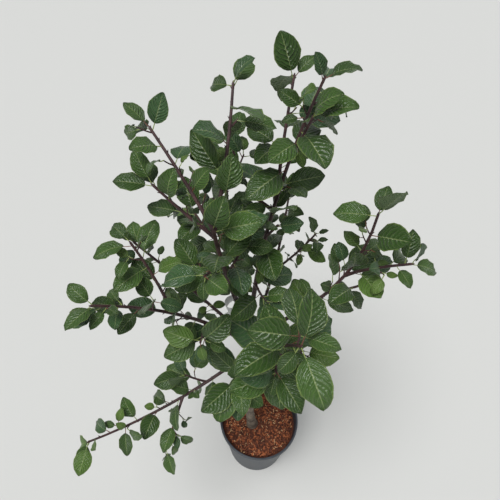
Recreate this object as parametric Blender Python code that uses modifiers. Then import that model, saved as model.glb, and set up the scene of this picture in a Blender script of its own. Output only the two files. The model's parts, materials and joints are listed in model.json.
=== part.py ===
"""Young gage plum tree in a nursery pot, at its real size in metres, +Z up.

The origin is the middle of the pot's flat underside. The trunk, every bough, every mass of
foliage, the pot, its compost and the plant label are solids of their own, 0.3 mm apart.
Trunk and boughs are arcs given by a heading, a rise and a length. Each mass of foliage is one
stem that goes on from its bough's tip, with twigs, spurs and leaves that follow a seeded rule.
"""

import math
import random
from collections import namedtuple

import bmesh
import bpy
import numpy as np

OBJECT_NAME = "potted_gage_tree"
GAP = 0.0003

# Pot and compost
POT_HEIGHT = 0.235
POT_RIM_RADIUS = 0.140
POT_BASE_RADIUS = 0.106
POT_WALL = 0.0022
POT_LIP_HEIGHT = 0.017
POT_LIP_REACH = 0.0045
POT_LIP_ROUND = 0.001
POT_FOOT_HEIGHT = 0.005
POT_FOOT_REACH = 0.004
POT_TURNS = 48
COMPOST_LEVEL = 0.208
COMPOST_SLOPE = 0.006
COMPOST_FLAT_RADIUS = 0.090

# Wood: a shoot's thickness grows by its taper with each metre of wood that it carries
TRUNK_FOOT = (-0.024, -0.012, COMPOST_LEVEL + GAP)
TRUNK_FOOT_RADIUS = 0.0150
TRUNK_TOP_RADIUS = 0.0095
FLARE_REACH = 0.0060
FLARE_HEIGHT = 0.030
SHOOT_TIP_RADIUS = 0.0024
SHOOT_TAPER = 0.0066
BOUGH_RUN = 0.042
RUN_LEAST = 0.001
SPUR_RADIUS = 0.0016
COLLAR_SHARE = 0.35
COLLAR_RUN = 0.020
TRUNK_SIDES = 4
BOUGH_SIDES = 2
TWIG_SIDES = 1
SPUR_SIDES = 0

# Plant label: a strip looped round the left leader
LABEL_PLACE = 0.135
LABEL_WIDTH = 0.024
LABEL_THICK = 0.0008
LABEL_LOOP_RADIUS = 0.017
LABEL_TAIL = 0.060
LABEL_TAIL_PARTS = 4
LABEL_TAIL_WAY = (-0.80, -0.60, 0.0)
LABEL_OPENING = 8
LABEL_TURNS = 21

# Shoots: how eyes go round and along them, how far leaves spread from them, and their spurs
EYE_TURN = 144.0
EYE_TURN_PLAY = 28.0
EYE_PLAY = (0.7, 1.3)
EYE_SPREAD = (38, 72)
END_SIZE = 0.78
END_SIZE_GAIN = 1.2
TIP_LEAVES = 3
TIP_TURN = 130.0
TIP_SPREAD = (12, 60)
TIP_SIZE = 0.84
TIP_DRAWS = 900
SPUR_LEAVES = 3
SPUR_LENGTH = (0.012, 0.040)
SPUR_SPREAD = (40, 75)
SPUR_TURN_PLAY = 25
SPUR_SIZE = 0.86
LEAF_TRIES = 4
TRY_TURN = 25

# Leaves: the light they turn to, and how they toss, sag, bend, fold and twist
LIGHT = np.array((-0.05, -0.50, 0.86))
LEAN = 0.30
TOSS = 0.55
SAG = 0.9
LEAF_SIZE = (0.78, 1.18)
SMALL_ODDS = 0.12
SMALL_SIZE = 0.55
WIDTH_SHARE = 0.68
WIDTH_PLAY = (0.88, 1.12)
ARCH = (5, 65)
FOLD = (4, 30)
TWIST = (-25, 25)
PETIOLE_RADIUS = 0.0011
PETIOLE_SHARE = 0.20
PETIOLE_LEAST = 0.004
THICK_SHARE = 0.02

# Room that a leaf or spur keeps to other leaves, to wood and to the compost
LEAF_ROOM = 0.0070
WOOD_ROOM = 0.0065
WOOD_NEAR = 0.02
WOOD_STEP = 0.006
COMPOST_ROOM = 0.01
BLADE_SHARES = (0.2, 0.5, 0.8)
BLADE_TEST_SHARES = (0.08, 0.20, 0.32, 0.44, 0.56, 0.68, 0.80, 0.92)
BLADE_TEST_PARTS = np.linspace(-1.0, 1.0, 7)

# One row a limb: where it starts on its parent (share of the parent's length), its heading and
# rise in degrees, its length, how far heading and rise change along it, and the length from its
# foot that is bare, which ends a few millimetres off a bend, so that bough and stem meet square.
# Then its leaves: blade length, spacing of the eyes, share of eyes that carry a spur, and the
# seed of its draws. Headings run from +X towards +Y.
Limb = namedtuple("Limb", "name parent start heading rise length turn lift bare leaf eye spurs seed")
LIMBS = (
    Limb("trunk", "", 0.00, 195, 83, 0.600, -86, 8, 0.600, 0.000, 0.000, 0.0, 0),
    Limb("right_leader", "trunk", 0.98, 72, 85, 0.615, -50, -16, 0.150, 0.074, 0.038, 0.0, 894),
    Limb("left_leader", "trunk", 0.97, 183, 75, 0.395, 58, 3, 0.165, 0.086, 0.030, 0.1, 129),
    Limb("right", "trunk", 0.94, 3, 36, 0.510, -32, 56, 0.165, 0.072, 0.040, 0.0, 479),
    Limb("left_upper", "trunk", 0.91, 174, 53, 0.410, 9, 0, 0.120, 0.060, 0.038, 0.3, 28),
    Limb("left_middle", "trunk", 0.87, 195, 56, 0.480, 28, -17, 0.110, 0.058, 0.030, 0.2, 493),
    Limb("low_left", "trunk", 0.80, 209, -33, 0.460, 9, 60, 0.085, 0.058, 0.034, 0.0, 748),
    Limb("front", "trunk", 0.84, -56, 58, 0.420, -23, -1, 0.160, 0.096, 0.026, 0.3, 655),
    Limb("back_left", "trunk", 0.93, 118, 52, 0.420, -18, 14, 0.130, 0.076, 0.030, 0.2, 529),
    Limb("back_right", "trunk", 0.89, 62, 40, 0.400, 16, 30, 0.130, 0.068, 0.038, 0.1, 105),
    Limb("low_front", "trunk", 0.74, -105, 35, 0.190, 10, 20, 0.050, 0.088, 0.018, 0.0, 189),
    Limb("low_right", "trunk", 0.78, -20, 30, 0.200, -10, 25, 0.060, 0.090, 0.022, 0.3, 909),
    Limb("right_leader_fork", "right_leader", 0.62, 85, 65, 0.225, -10, 0, 0.030, 0.076, 0.032, 0.2, 788),
    Limb("right_leader_twig", "right_leader", 0.58, 159, 16, 0.165, -47, 49, 0.020, 0.072, 0.022, 0.3, 717),
    Limb("left_fork", "left_leader", 1.00, 140, 48, 0.200, 4, -5, 0.020, 0.060, 0.030, 0.1, 979),
    Limb("left_twig", "left_leader", 0.93, 166, 36, 0.145, -3, 5, 0.020, 0.054, 0.030, 0.3, 152),
    Limb("centre_leader", "left_leader", 0.97, 71, 58, 0.255, 17, -2, 0.020, 0.066, 0.026, 0.2, 616),
    Limb("left_middle_twig", "left_middle", 0.60, 150, 75, 0.190, 10, -15, 0.020, 0.062, 0.026, 0.0, 163),
    Limb("low_left_twig", "low_left", 0.46, -102, -21, 0.160, -20, -45, 0.020, 0.054, 0.038, 0.2, 665),
    Limb("right_twig", "right", 0.66, -48, 56, 0.150, 27, -25, 0.020, 0.062, 0.020, 0.0, 123),
    Limb("right_leader_low", "right_leader", 0.26, -75, 20, 0.070, 0, 10, 0.015, 0.070, 0.020, 0.0, 375),
    Limb("right_leader_side", "right_leader", 0.48, -35, 55, 0.050, 0, 10, 0.015, 0.062, 0.022, 0.0, 562),
    Limb("right_leader_high", "right_leader", 0.78, -20, 65, 0.080, 0, 10, 0.015, 0.074, 0.020, 0.0, 955),
    Limb("left_leader_low", "left_leader", 0.58, 175, 5, 0.070, 0, 15, 0.015, 0.072, 0.022, 0.0, 139),
    Limb("left_leader_front", "left_leader", 0.74, -110, 15, 0.080, 0, 15, 0.015, 0.076, 0.028, 0.0, 872),
    Limb("left_leader_back", "left_leader", 0.62, 35, 50, 0.080, 0, 15, 0.015, 0.076, 0.026, 0.0, 174),
    Limb("left_middle_low", "left_middle", 0.38, -90, 20, 0.090, 0, 15, 0.015, 0.072, 0.020, 0.0, 405),
    Limb("right_low", "right", 0.52, -20, 35, 0.100, 0, 15, 0.015, 0.076, 0.028, 0.0, 96),
    Limb("low_left_up", "low_left", 0.30, 185, 30, 0.070, 0, 15, 0.015, 0.072, 0.026, 0.0, 80),
    Limb("front_twig", "front", 0.54, -90, 0, 0.070, 0, 15, 0.015, 0.096, 0.020, 0.0, 299),
    Limb("back_left_twig", "back_left", 0.50, 150, 30, 0.150, 0, 20, 0.020, 0.078, 0.024, 0.0, 193),
    Limb("back_right_twig", "back_right", 0.50, 20, 35, 0.150, 0, 20, 0.020, 0.064, 0.034, 0.0, 388),
)

Leaf = namedtuple("Leaf", "root way face petiole length width arch fold twist")
Twig = namedtuple("Twig", "points radii")


# Growth rule

def unit(vector):
    return vector / math.sqrt(float(vector @ vector))


def arc_points(start, limb):
    """Points of a limb's axis from its start, a few centimetres apart."""
    count = max(4, round(limb.length / BOUGH_RUN))
    share = (np.arange(count) + 0.5) / count
    heading = np.radians(limb.heading + limb.turn * share)
    rise = np.radians(limb.rise + limb.lift * share)
    steps = np.stack((np.cos(rise) * np.cos(heading), np.cos(rise) * np.sin(heading), np.sin(rise)), 1)
    steps *= limb.length / count
    return np.vstack((start, start + np.cumsum(steps, axis=0)))


def spot_on(axis, share):
    """The point at a share of an axis, and the direction there."""
    place = min(max(share, 0.0), 1.0) * (len(axis) - 1)
    index = min(int(place), len(axis) - 2)
    step = axis[index + 1] - axis[index]
    return axis[index] + step * (place - index), unit(step)


def limb_axes():
    """Every limb's axis by name, each starting on its parent's axis."""
    axes = {}
    for limb in LIMBS:
        start = np.array(TRUNK_FOOT)
        if limb.parent:
            start = spot_on(axes[limb.parent], limb.start)[0]
        axes[limb.name] = arc_points(start, limb)
    return axes


def limb_radius(limb, share):
    """A limb is as thick as the longest run of wood it carries, with a collar at its foot."""
    along = share * limb.length
    if not limb.parent:
        flare = FLARE_REACH * math.exp(-along / FLARE_HEIGHT)
        return TRUNK_FOOT_RADIUS + (TRUNK_TOP_RADIUS - TRUNK_FOOT_RADIUS) * share + flare
    carried = limb.length - along
    for child in LIMBS:
        if child.parent == limb.name and child.start >= share:
            carried = max(carried, child.start * limb.length - along + child.length)
    collar = 1.0 + COLLAR_SHARE * math.exp(-along / COLLAR_RUN)
    return (SHOOT_TIP_RADIUS + SHOOT_TAPER * carried) * collar


def around_axis(ahead, angle):
    """The direction square to ahead, at an angle round it."""
    side = np.cross(ahead, (0.0, 0.0, 1.0))
    if side @ side < 0.01:
        side = np.cross(ahead, (0.0, 1.0, 0.0))
    side = unit(side)
    return math.cos(angle) * side + math.sin(angle) * np.cross(side, ahead)


def leaf_on(rng, root, ahead, angle, spread, size):
    """One leaf: it leaves its twig at an angle, sags a little and turns its face to the light."""
    way = math.cos(spread) * ahead + math.sin(spread) * around_axis(ahead, angle)
    way = unit(way + np.array((0.0, 0.0, -rng.uniform(0.0, 1.0) ** 2 * SAG)))
    toss = np.array((rng.uniform(-1, 1), rng.uniform(-1, 1), rng.uniform(-1, 1)))
    face = LIGHT + LEAN * ahead + TOSS * toss
    face = unit(face - (face @ way) * way)
    length = size * rng.uniform(*LEAF_SIZE)
    if rng.random() < SMALL_ODDS:
        length *= SMALL_SIZE
    return Leaf(root, way, face, PETIOLE_SHARE * length + PETIOLE_LEAST, length,
                length * WIDTH_SHARE * rng.uniform(*WIDTH_PLAY), math.radians(rng.uniform(*ARCH)),
                math.radians(rng.uniform(*FOLD)), math.radians(rng.uniform(*TWIST)))


def grow_shoot(limb, axis, room, mass):
    """The spurs and leaves of one shoot, eye by eye from its bare foot to its tip."""
    rng = random.Random(limb.seed)
    angle = rng.uniform(0.0, 360.0)
    along = limb.bare + rng.uniform(0.2, 1.0) * limb.eye
    spurs = []
    leaves = []
    eye = 0
    while along < limb.length - limb.eye * 0.5:
        share = along / limb.length
        root, ahead = spot_on(axis, share)
        angle += EYE_TURN + rng.uniform(-EYE_TURN_PLAY, EYE_TURN_PLAY)
        size = limb.leaf * min(1.0, END_SIZE + END_SIZE_GAIN * (1.0 - share))
        draws = random.Random(limb.seed * 1000 + eye)
        if draws.random() < limb.spurs:
            grow_spur(draws, root, ahead, math.radians(angle), size, room, mass, spurs, leaves)
        else:
            grow_leaf(draws, root, ahead, math.radians(angle), EYE_SPREAD, size, room, mass, leaves)
        along += limb.eye * rng.uniform(*EYE_PLAY)
        eye += 1
    for number in range(TIP_LEAVES):
        root, ahead = spot_on(axis, 0.995 - 0.004 * number / limb.length)
        draws = random.Random(limb.seed * 1000 + TIP_DRAWS + number)
        spin = math.radians(angle + number * TIP_TURN)
        grow_leaf(draws, root, ahead, spin, TIP_SPREAD, limb.leaf * TIP_SIZE, room, mass, leaves)
    return spurs, leaves


def grow_leaf(draws, root, ahead, angle, spreads, size, room, mass, leaves):
    """One leaf from an eye, turned a little further at each try until it has room."""
    for attempt in range(LEAF_TRIES):
        spread = math.radians(draws.uniform(*spreads))
        turned = angle + math.radians(TRY_TURN * attempt) * draws.choice((-1, 1))
        leaf = leaf_on(draws, root, ahead, turned, spread, size)
        if room.has_leaf_room(leaf, mass):
            leaves.append(leaf)
            return


def grow_spur(draws, root, ahead, angle, size, room, mass, spurs, leaves):
    """A short spur with a rosette of three leaves round its tip."""
    out = unit(0.6 * ahead + around_axis(ahead, angle) + np.array((0.0, 0.0, 0.35)))
    length = draws.uniform(*SPUR_LENGTH)
    if not room.has_spur_room(root, out, length):
        return
    spurs.append(Twig((root, root + out * length), (SPUR_RADIUS * 1.3, SPUR_RADIUS)))
    turn = draws.uniform(0.0, 2.0 * math.pi)
    for number in range(SPUR_LEAVES):
        seat = root + out * (length * (0.94 - 0.09 * number))
        play = draws.uniform(-SPUR_TURN_PLAY, SPUR_TURN_PLAY)
        spin = turn + math.radians(number * 360 / SPUR_LEAVES + play)
        grow_leaf(draws, seat, out, spin, SPUR_SPREAD, size * SPUR_SIZE, room, mass, leaves)


class Room:
    """The space that wood and leaves have taken, and which mass holds it."""

    def __init__(self, wood):
        """wood holds an axis point, a radius and a mass name (or none) for each place."""
        self.wood = np.array([place for place, radius, mass in wood])
        self.wood_radius = np.array([radius for place, radius, mass in wood])
        self.wood_mass = np.array([mass for place, radius, mass in wood])
        self.centres = np.zeros((0, 3))
        self.reaches = np.zeros(0)
        self.clouds = []

    def has_leaf_room(self, leaf, mass):
        """Whether a leaf is clear of all else and nearest its own mass; if so, it is taken in."""
        cloud = blade_points(leaf)
        centre = cloud.mean(axis=0)
        reach = math.sqrt(((cloud - centre) ** 2).sum(axis=1).max())
        apart = np.sqrt(((self.wood - centre) ** 2).sum(axis=1))
        leafy = self.wood_mass != ""
        if self.wood_mass[leafy][apart[leafy].argmin()] != mass:
            return False
        near = apart < reach + WOOD_NEAR
        if near.any():
            gaps = np.sqrt(((cloud[:, None] - self.wood[near][None]) ** 2).sum(axis=2))
            if (gaps - self.wood_radius[near][None]).min() < WOOD_ROOM:
                return False
        if self.meets_leaves(cloud, centre, reach):
            return False
        if cloud[:, 2].min() < COMPOST_LEVEL + COMPOST_ROOM:
            return False
        self.centres = np.vstack((self.centres, centre))
        self.reaches = np.append(self.reaches, reach)
        self.clouds.append(cloud)
        return True

    def meets_leaves(self, cloud, centre, reach):
        """Whether a cloud of points comes too near a leaf that is already there."""
        apart = np.sqrt(((self.centres - centre) ** 2).sum(axis=1))
        for index in np.nonzero(apart < self.reaches + reach + LEAF_ROOM)[0]:
            gaps = ((cloud[:, None] - self.clouds[index][None]) ** 2).sum(axis=2)
            if gaps.min() < LEAF_ROOM ** 2:
                return True
        return False

    def has_spur_room(self, root, out, length):
        """Whether a spur is clear of leaves and of other wood."""
        cloud = np.array([root + out * length * share for share in (0.4, 0.6, 0.8, 1.0)])
        if self.meets_leaves(cloud, cloud[2], length):
            return False
        far = np.sqrt(((self.wood - root) ** 2).sum(axis=1)) > WOOD_NEAR
        gaps = np.sqrt(((cloud[:, None] - self.wood[far][None]) ** 2).sum(axis=2))
        return (gaps - self.wood_radius[far][None]).min() > WOOD_ROOM


def leaf_frame(leaf, share):
    """Midrib point, direction, side and face of a blade at a share of its length."""
    bend = max(leaf.arch, 0.01)
    turned = bend * share
    base = leaf.root + leaf.way * leaf.petiole
    run = leaf.length / bend
    point = base + run * (math.sin(turned) * leaf.way - (1.0 - math.cos(turned)) * leaf.face)
    ahead = math.cos(turned) * leaf.way - math.sin(turned) * leaf.face
    face = math.cos(turned) * leaf.face + math.sin(turned) * leaf.way
    side = np.cross(face, ahead)
    twisted = leaf.twist * share
    side, face = (math.cos(twisted) * side + math.sin(twisted) * face,
                  math.cos(twisted) * face - math.sin(twisted) * side)
    return point, ahead, side, face


def half_width(leaf, share):
    """Half of the blade's width: broad below the middle, round, then a short point."""
    return 0.5 * leaf.width * math.sin(math.pi * share ** 0.85) ** 0.7


def blade_points(leaf):
    """Points all over the blade, a few millimetres apart, to test its room."""
    points = []
    lift = math.tan(leaf.fold)
    for share in BLADE_TEST_SHARES:
        point, ahead, side, face = leaf_frame(leaf, share)
        reach = half_width(leaf, share)
        across = reach * BLADE_TEST_PARTS[:, None]
        points.append(point + across * side + np.abs(across) * lift * face)
    points.append(leaf_frame(leaf, 1.0)[0][None])
    return np.vstack(points)


def wood_places(axes):
    """Axis points every few millimetres along all limbs, with radius and the mass they carry."""
    places = []
    for limb in LIMBS:
        count = round(limb.length / WOOD_STEP)
        for index in range(count + 1):
            share = index / count
            mass = mass_of(limb) if share * limb.length >= limb.bare else ""
            places.append((spot_on(axes[limb.name], share)[0], limb_radius(limb, share), mass))
    return places


def mass_of(limb):
    """The mass of foliage that a limb belongs to: its own, or that of the limb it forks from."""
    if limb.name == "trunk":
        return ""
    return limb.name if limb.parent == "trunk" else limb.parent


def grow_tree():
    """All limb axes, and the spurs and leaves of every mass."""
    axes = limb_axes()
    room = Room(wood_places(axes))
    growth = {mass_of(limb): ([], []) for limb in LIMBS[1:]}
    for limb in LIMBS[1:]:
        spurs, leaves = grow_shoot(limb, axes[limb.name], room, mass_of(limb))
        growth[mass_of(limb)][0].extend(spurs)
        growth[mass_of(limb)][1].extend(leaves)
    return axes, growth


# Shape helpers

def clear_scene():
    for thing in list(bpy.data.objects):
        bpy.data.objects.remove(thing, do_unlink=True)


def new_collection(name):
    collection = bpy.data.collections.new(name)
    bpy.context.scene.collection.children.link(collection)
    return collection


def principled(name, colour, roughness):
    """A plain material of an sRGB colour given as a hex string."""
    material = bpy.data.materials.new(name)
    material.use_nodes = True
    shader = material.node_tree.nodes["Principled BSDF"]
    linear = [(int(colour[i:i + 2], 16) / 255.0) ** 2.2 for i in (1, 3, 5)]
    shader.inputs["Base Color"].default_value = (*linear, 1.0)
    shader.inputs["Roughness"].default_value = roughness
    shader.inputs["Metallic"].default_value = 0.0
    material.diffuse_color = (*linear, 1.0)
    return material


def add_object(name, mesh, collection, material=None):
    thing = bpy.data.objects.new(name, mesh)
    collection.objects.link(thing)
    if material:
        mesh.materials.clear()
        mesh.materials.append(material)
    return thing


def evaluated_mesh(thing):
    """A plain mesh of an object with its modifiers and transform applied."""
    bpy.context.view_layer.update()
    graph = bpy.context.evaluated_depsgraph_get()
    mesh = bpy.data.meshes.new_from_object(thing.evaluated_get(graph))
    mesh.transform(thing.matrix_world)
    return mesh


def welded(mesh):
    """The mesh with its loose caps joined on and its faces pointing out."""
    work = bmesh.new()
    work.from_mesh(mesh)
    bmesh.ops.remove_doubles(work, verts=work.verts, dist=0.000001)
    bmesh.ops.recalc_face_normals(work, faces=work.faces)
    work.to_mesh(mesh)
    work.free()
    return mesh


def tube_mesh(name, points, radii, resolution):
    """A tapering tube with closed ends along points; resolution 0 has 4 sides, 1 has 6, 2 has 8."""
    curve = bpy.data.curves.new(name, "CURVE")
    curve.dimensions = "3D"
    curve.bevel_depth = 1.0
    curve.bevel_resolution = resolution
    curve.use_fill_caps = True
    spline = curve.splines.new("POLY")
    spline.points.add(len(points) - 1)
    for knot, point, radius in zip(spline.points, points, radii):
        knot.co = (*point, 1.0)
        knot.radius = radius
    thing = bpy.data.objects.new(name, curve)
    bpy.context.scene.collection.objects.link(thing)
    mesh = welded(evaluated_mesh(thing))
    bpy.data.objects.remove(thing, do_unlink=True)
    return mesh


def turned_object(name, profile, collection, material):
    """A closed profile turned about the Z axis; it runs down its outer side."""
    mesh = bpy.data.meshes.new(name)
    mesh.from_pydata([(radius, 0.0, height) for radius, height in profile],
                     [(i, i + 1) for i in range(len(profile) - 1)], [])
    thing = add_object(name, mesh, collection, material)
    screw = thing.modifiers.new("Turn", "SCREW")
    screw.steps = POT_TURNS
    screw.render_steps = POT_TURNS
    screw.use_merge_vertices = True
    screw.merge_threshold = 0.0001
    screw.use_smooth_shade = False
    return thing


def largest_body(mesh):
    """Keeps only the largest connected body, so a loose scrap or a sealed hollow is gone."""
    work = bmesh.new()
    work.from_mesh(mesh)
    left = set(work.faces)
    bodies = []
    for first in work.faces:
        if first not in left:
            continue
        left.remove(first)
        body = [first]
        for face in body:
            for edge in face.edges:
                for neighbour in edge.link_faces:
                    if neighbour in left:
                        left.remove(neighbour)
                        body.append(neighbour)
        bodies.append(body)
    bodies.sort(key=len)
    for body in bodies[:-1]:
        bmesh.ops.delete(work, geom=body, context="FACES")
    work.to_mesh(mesh)
    work.free()
    return mesh


def boolean_mesh(name, base, others, operation):
    """The mesh of base joined with or cut by a list of other meshes, as one body."""
    scrap = new_collection(name + "_tools")
    for number, other in enumerate(others):
        tool = add_object(f"{name}_tool_{number}", other, scrap)
        tool.hide_render = True
        tool.display_type = "WIRE"
    thing = bpy.data.objects.new(name, base)
    bpy.context.scene.collection.objects.link(thing)
    join = thing.modifiers.new("Join", "BOOLEAN")
    join.operation = operation
    join.operand_type = "COLLECTION"
    join.collection = scrap
    join.solver = "EXACT"
    mesh = largest_body(welded(evaluated_mesh(thing)))
    bpy.data.objects.remove(thing, do_unlink=True)
    for tool in list(scrap.objects):
        bpy.data.objects.remove(tool, do_unlink=True)
    bpy.data.collections.remove(scrap)
    return mesh


# Pieces

def pot_radius(height):
    """Outer radius of the pot's tapering wall at a height."""
    share = height / POT_HEIGHT
    top = POT_RIM_RADIUS - POT_LIP_REACH
    return POT_BASE_RADIUS + (top - POT_BASE_RADIUS) * share


def make_pot(collection, material):
    inner_top = pot_radius(POT_HEIGHT) - POT_WALL
    lip_foot = POT_HEIGHT - POT_LIP_HEIGHT
    profile = (
        (0.0, POT_WALL),
        (pot_radius(POT_WALL) - POT_WALL, POT_WALL),
        (inner_top, POT_HEIGHT - POT_LIP_ROUND),
        (inner_top + POT_LIP_ROUND, POT_HEIGHT),
        (POT_RIM_RADIUS - POT_LIP_ROUND, POT_HEIGHT),
        (POT_RIM_RADIUS, POT_HEIGHT - 2 * POT_LIP_ROUND),
        (POT_RIM_RADIUS - POT_LIP_ROUND, lip_foot),
        (pot_radius(lip_foot), lip_foot - POT_LIP_ROUND),
        (pot_radius(POT_FOOT_HEIGHT), POT_FOOT_HEIGHT),
        (pot_radius(0.0) - POT_FOOT_REACH, 0.0),
        (0.0, 0.0),
    )
    return turned_object("pot", profile, collection, material)


def make_compost(collection, material):
    edge_level = COMPOST_LEVEL - COMPOST_SLOPE
    floor = POT_WALL + GAP
    profile = (
        (0.0, COMPOST_LEVEL),
        (COMPOST_FLAT_RADIUS, COMPOST_LEVEL),
        (pot_radius(edge_level) - POT_WALL - GAP, edge_level),
        (pot_radius(floor) - POT_WALL - GAP, floor),
        (0.0, floor),
    )
    return turned_object("compost", profile, collection, material)


def run_of(limb, axis, low, high):
    """Axis points and radii of a limb from one length along it to another."""
    inner = np.linspace(0.0, limb.length, len(axis))
    inner = inner[(inner > low + RUN_LEAST) & (inner < high - RUN_LEAST)]
    lengths = np.concatenate(([low], inner, [high]))
    points = [spot_on(axis, length / limb.length)[0] for length in lengths]
    return points, [limb_radius(limb, length / limb.length) for length in lengths]


def make_wood(axes, collection, materials):
    """The trunk, and every bough cut clear of the trunk and of the boughs before it."""
    cutters = []
    for limb in LIMBS:
        if limb.parent not in ("", "trunk"):
            continue
        is_trunk = not limb.parent
        name = "trunk" if is_trunk else "bough_" + limb.name
        sides = TRUNK_SIDES if is_trunk else BOUGH_SIDES
        points, radii = run_of(limb, axes[limb.name], 0.0, limb.bare)
        if is_trunk:
            points, radii = trunk_run(axes["trunk"])
        mesh = tube_mesh(name, points, radii, sides)
        points[-1] = points[-1] + GAP * unit(points[-1] - points[-2])
        wide = tube_mesh(name + "_room", points, [radius + GAP * 1.1 for radius in radii], sides)
        if cutters:
            mesh = boolean_mesh(name, mesh, [cutter.copy() for cutter in cutters], "DIFFERENCE")
        cutters.append(wide)
        add_object(name, mesh, collection, materials["trunk" if is_trunk else "bough"])


def trunk_run(axis):
    """The trunk's points and radii, closer together where it flares at its foot."""
    trunk = LIMBS[0]
    lengths = [FLARE_HEIGHT * step for step in (0.0, 0.35, 0.8, 1.5)]
    lengths += list(np.linspace(0.08, trunk.length, 10))
    points = [spot_on(axis, length / trunk.length)[0] for length in lengths]
    points[1] = points[0] + np.array((0.0, 0.0, lengths[1]))
    return points, [limb_radius(trunk, length / trunk.length) for length in lengths]


def leaf_mesh(name, leaf):
    """A leaf as one closed body: a three-sided stalk lofted into a blade that is thick at its rib."""
    work = bmesh.new()
    ahead, face = leaf.way, leaf.face
    side = np.cross(face, ahead)
    stalk = [side - 0.5 * face, -side - 0.5 * face, 1.0 * face]
    root = [work.verts.new(leaf.root + PETIOLE_RADIUS * corner) for corner in stalk]
    base = leaf.root + leaf.way * leaf.petiole
    neck = [work.verts.new(base + PETIOLE_RADIUS * corner) for corner in stalk]
    work.faces.new((root[2], root[1], root[0]))
    for one in range(3):
        two = (one + 1) % 3
        work.faces.new((root[one], root[two], neck[two], neck[one]))
    rings = [blade_ring(work, leaf, share) for share in BLADE_SHARES]
    left, right, top = neck
    ring = rings[0]
    work.faces.new((top, left, ring[0], ring[1]))
    work.faces.new((right, top, ring[1], ring[2]))
    work.faces.new((left, right, ring[3]))
    work.faces.new((left, ring[3], ring[0]))
    work.faces.new((right, ring[2], ring[3]))
    for ring, further in zip(rings, rings[1:]):
        for one in range(4):
            two = (one + 1) % 4
            work.faces.new((ring[one], ring[two], further[two], further[one]))
    tip = work.verts.new(leaf_frame(leaf, 1.0)[0])
    for one in range(4):
        work.faces.new((rings[-1][one], rings[-1][(one + 1) % 4], tip))
    bmesh.ops.triangulate(work, faces=work.faces)
    bmesh.ops.recalc_face_normals(work, faces=work.faces)
    mesh = bpy.data.meshes.new(name)
    work.to_mesh(mesh)
    work.free()
    return mesh


def blade_ring(work, leaf, share):
    """Four corners of a blade's section: one margin, the rib above, the other margin, below."""
    point, ahead, side, face = leaf_frame(leaf, share)
    reach = half_width(leaf, share)
    lift = reach * math.tan(leaf.fold)
    half = 0.5 * THICK_SHARE * leaf.length
    return [work.verts.new(corner) for corner in (
        point + reach * side + lift * face,
        point + half * face,
        point - reach * side + lift * face,
        point - half * face)]


def make_mass(name, axes, growth, collection, material):
    """One mass of foliage: stem, twigs, spurs and leaves fused into one body."""
    spurs, leaves = growth
    main = next(limb for limb in LIMBS if limb.name == name)
    points, radii = run_of(main, axes[name], main.bare + GAP, main.length)
    stem = tube_mesh(name, points, radii, TWIG_SIDES)
    others = []
    for limb in LIMBS:
        if limb.parent == name:
            points, radii = run_of(limb, axes[limb.name], 0.0, limb.length)
            others.append(tube_mesh(limb.name, points, radii, TWIG_SIDES))
    for number, spur in enumerate(spurs):
        others.append(tube_mesh(f"{name}_spur_{number}", spur.points, spur.radii, SPUR_SIDES))
    for number, leaf in enumerate(leaves):
        others.append(leaf_mesh(f"{name}_leaf_{number}", leaf))
    mesh = boolean_mesh(name, stem, others, "UNION")
    add_object("foliage_" + name, mesh, collection, material)


def make_label(axes, collection, material):
    """A blank plastic strip looped round the left leader, with its tail hanging free."""
    limb = next(limb for limb in LIMBS if limb.name == "left_leader")
    centre, along = spot_on(axes["left_leader"], LABEL_PLACE / limb.length)
    tail_way = np.array(LABEL_TAIL_WAY)
    tail_way = unit(tail_way - (tail_way @ along) * along)
    across = np.cross(along, tail_way)
    wood = limb_radius(limb, LABEL_PLACE / limb.length - 0.03)
    centre = centre + tail_way * (LABEL_LOOP_RADIUS - wood - GAP - 0.5 * LABEL_THICK)
    path = []
    for number in range(LABEL_TURNS):
        angle = math.radians(LABEL_OPENING + (360 - LABEL_OPENING) * number / (LABEL_TURNS - 1))
        bow = math.cos(angle) * across + math.sin(angle) * -tail_way
        path.append(centre + LABEL_LOOP_RADIUS * bow)
    for number in range(1, LABEL_TAIL_PARTS + 1):
        path.append(path[LABEL_TURNS - 1] + tail_way * LABEL_TAIL * number / LABEL_TAIL_PARTS)
    mesh = bpy.data.meshes.new("plant_label")
    corners = []
    for point in path:
        corners.append(point - 0.5 * LABEL_WIDTH * along)
        corners.append(point + 0.5 * LABEL_WIDTH * along)
    strips = [(i * 2, i * 2 + 2, i * 2 + 3, i * 2 + 1) for i in range(len(path) - 1)]
    mesh.from_pydata([tuple(corner) for corner in corners], [], strips)
    thing = add_object("plant_label", mesh, collection, material)
    wall = thing.modifiers.new("Wall", "SOLIDIFY")
    wall.thickness = LABEL_THICK
    wall.offset = 0.0
    return thing


def main():
    clear_scene()
    collection = new_collection(OBJECT_NAME)
    materials = {
        "trunk": principled("trunk_bark", "#6f6258", 0.85),
        "bough": principled("bough_bark", "#4b353a", 0.70),
        "foliage": principled("plum_leaf", "#4f7048", 0.50),
        "pot": principled("pot_plastic", "#3d4148", 0.45),
        "compost": principled("bark_compost", "#7b4b36", 0.95),
        "label": principled("label_plastic", "#e6e7e6", 0.45),
    }
    axes, growth = grow_tree()
    make_pot(collection, materials["pot"])
    make_compost(collection, materials["compost"])
    make_wood(axes, collection, materials)
    for name, grown in growth.items():
        make_mass(name, axes, grown, collection, materials["foliage"])
    make_label(axes, collection, materials["label"])


if __name__ == "__main__":
    main()
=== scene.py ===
# %% [markdown]
# A young gage plum tree in a nursery pot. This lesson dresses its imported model: a leaning stem,
# an open crown of broad leaves, a dark pot with bark compost, and a blank label on a loop.
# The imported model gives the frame. Everything here is in its metres, with +Z up and the origin
# in the middle of the pot's underside.

# %% Load the frame
import json
import math
import random
from collections import namedtuple

import bmesh
import bpy
import numpy as np
from mathutils import Matrix, Vector, noise

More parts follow.
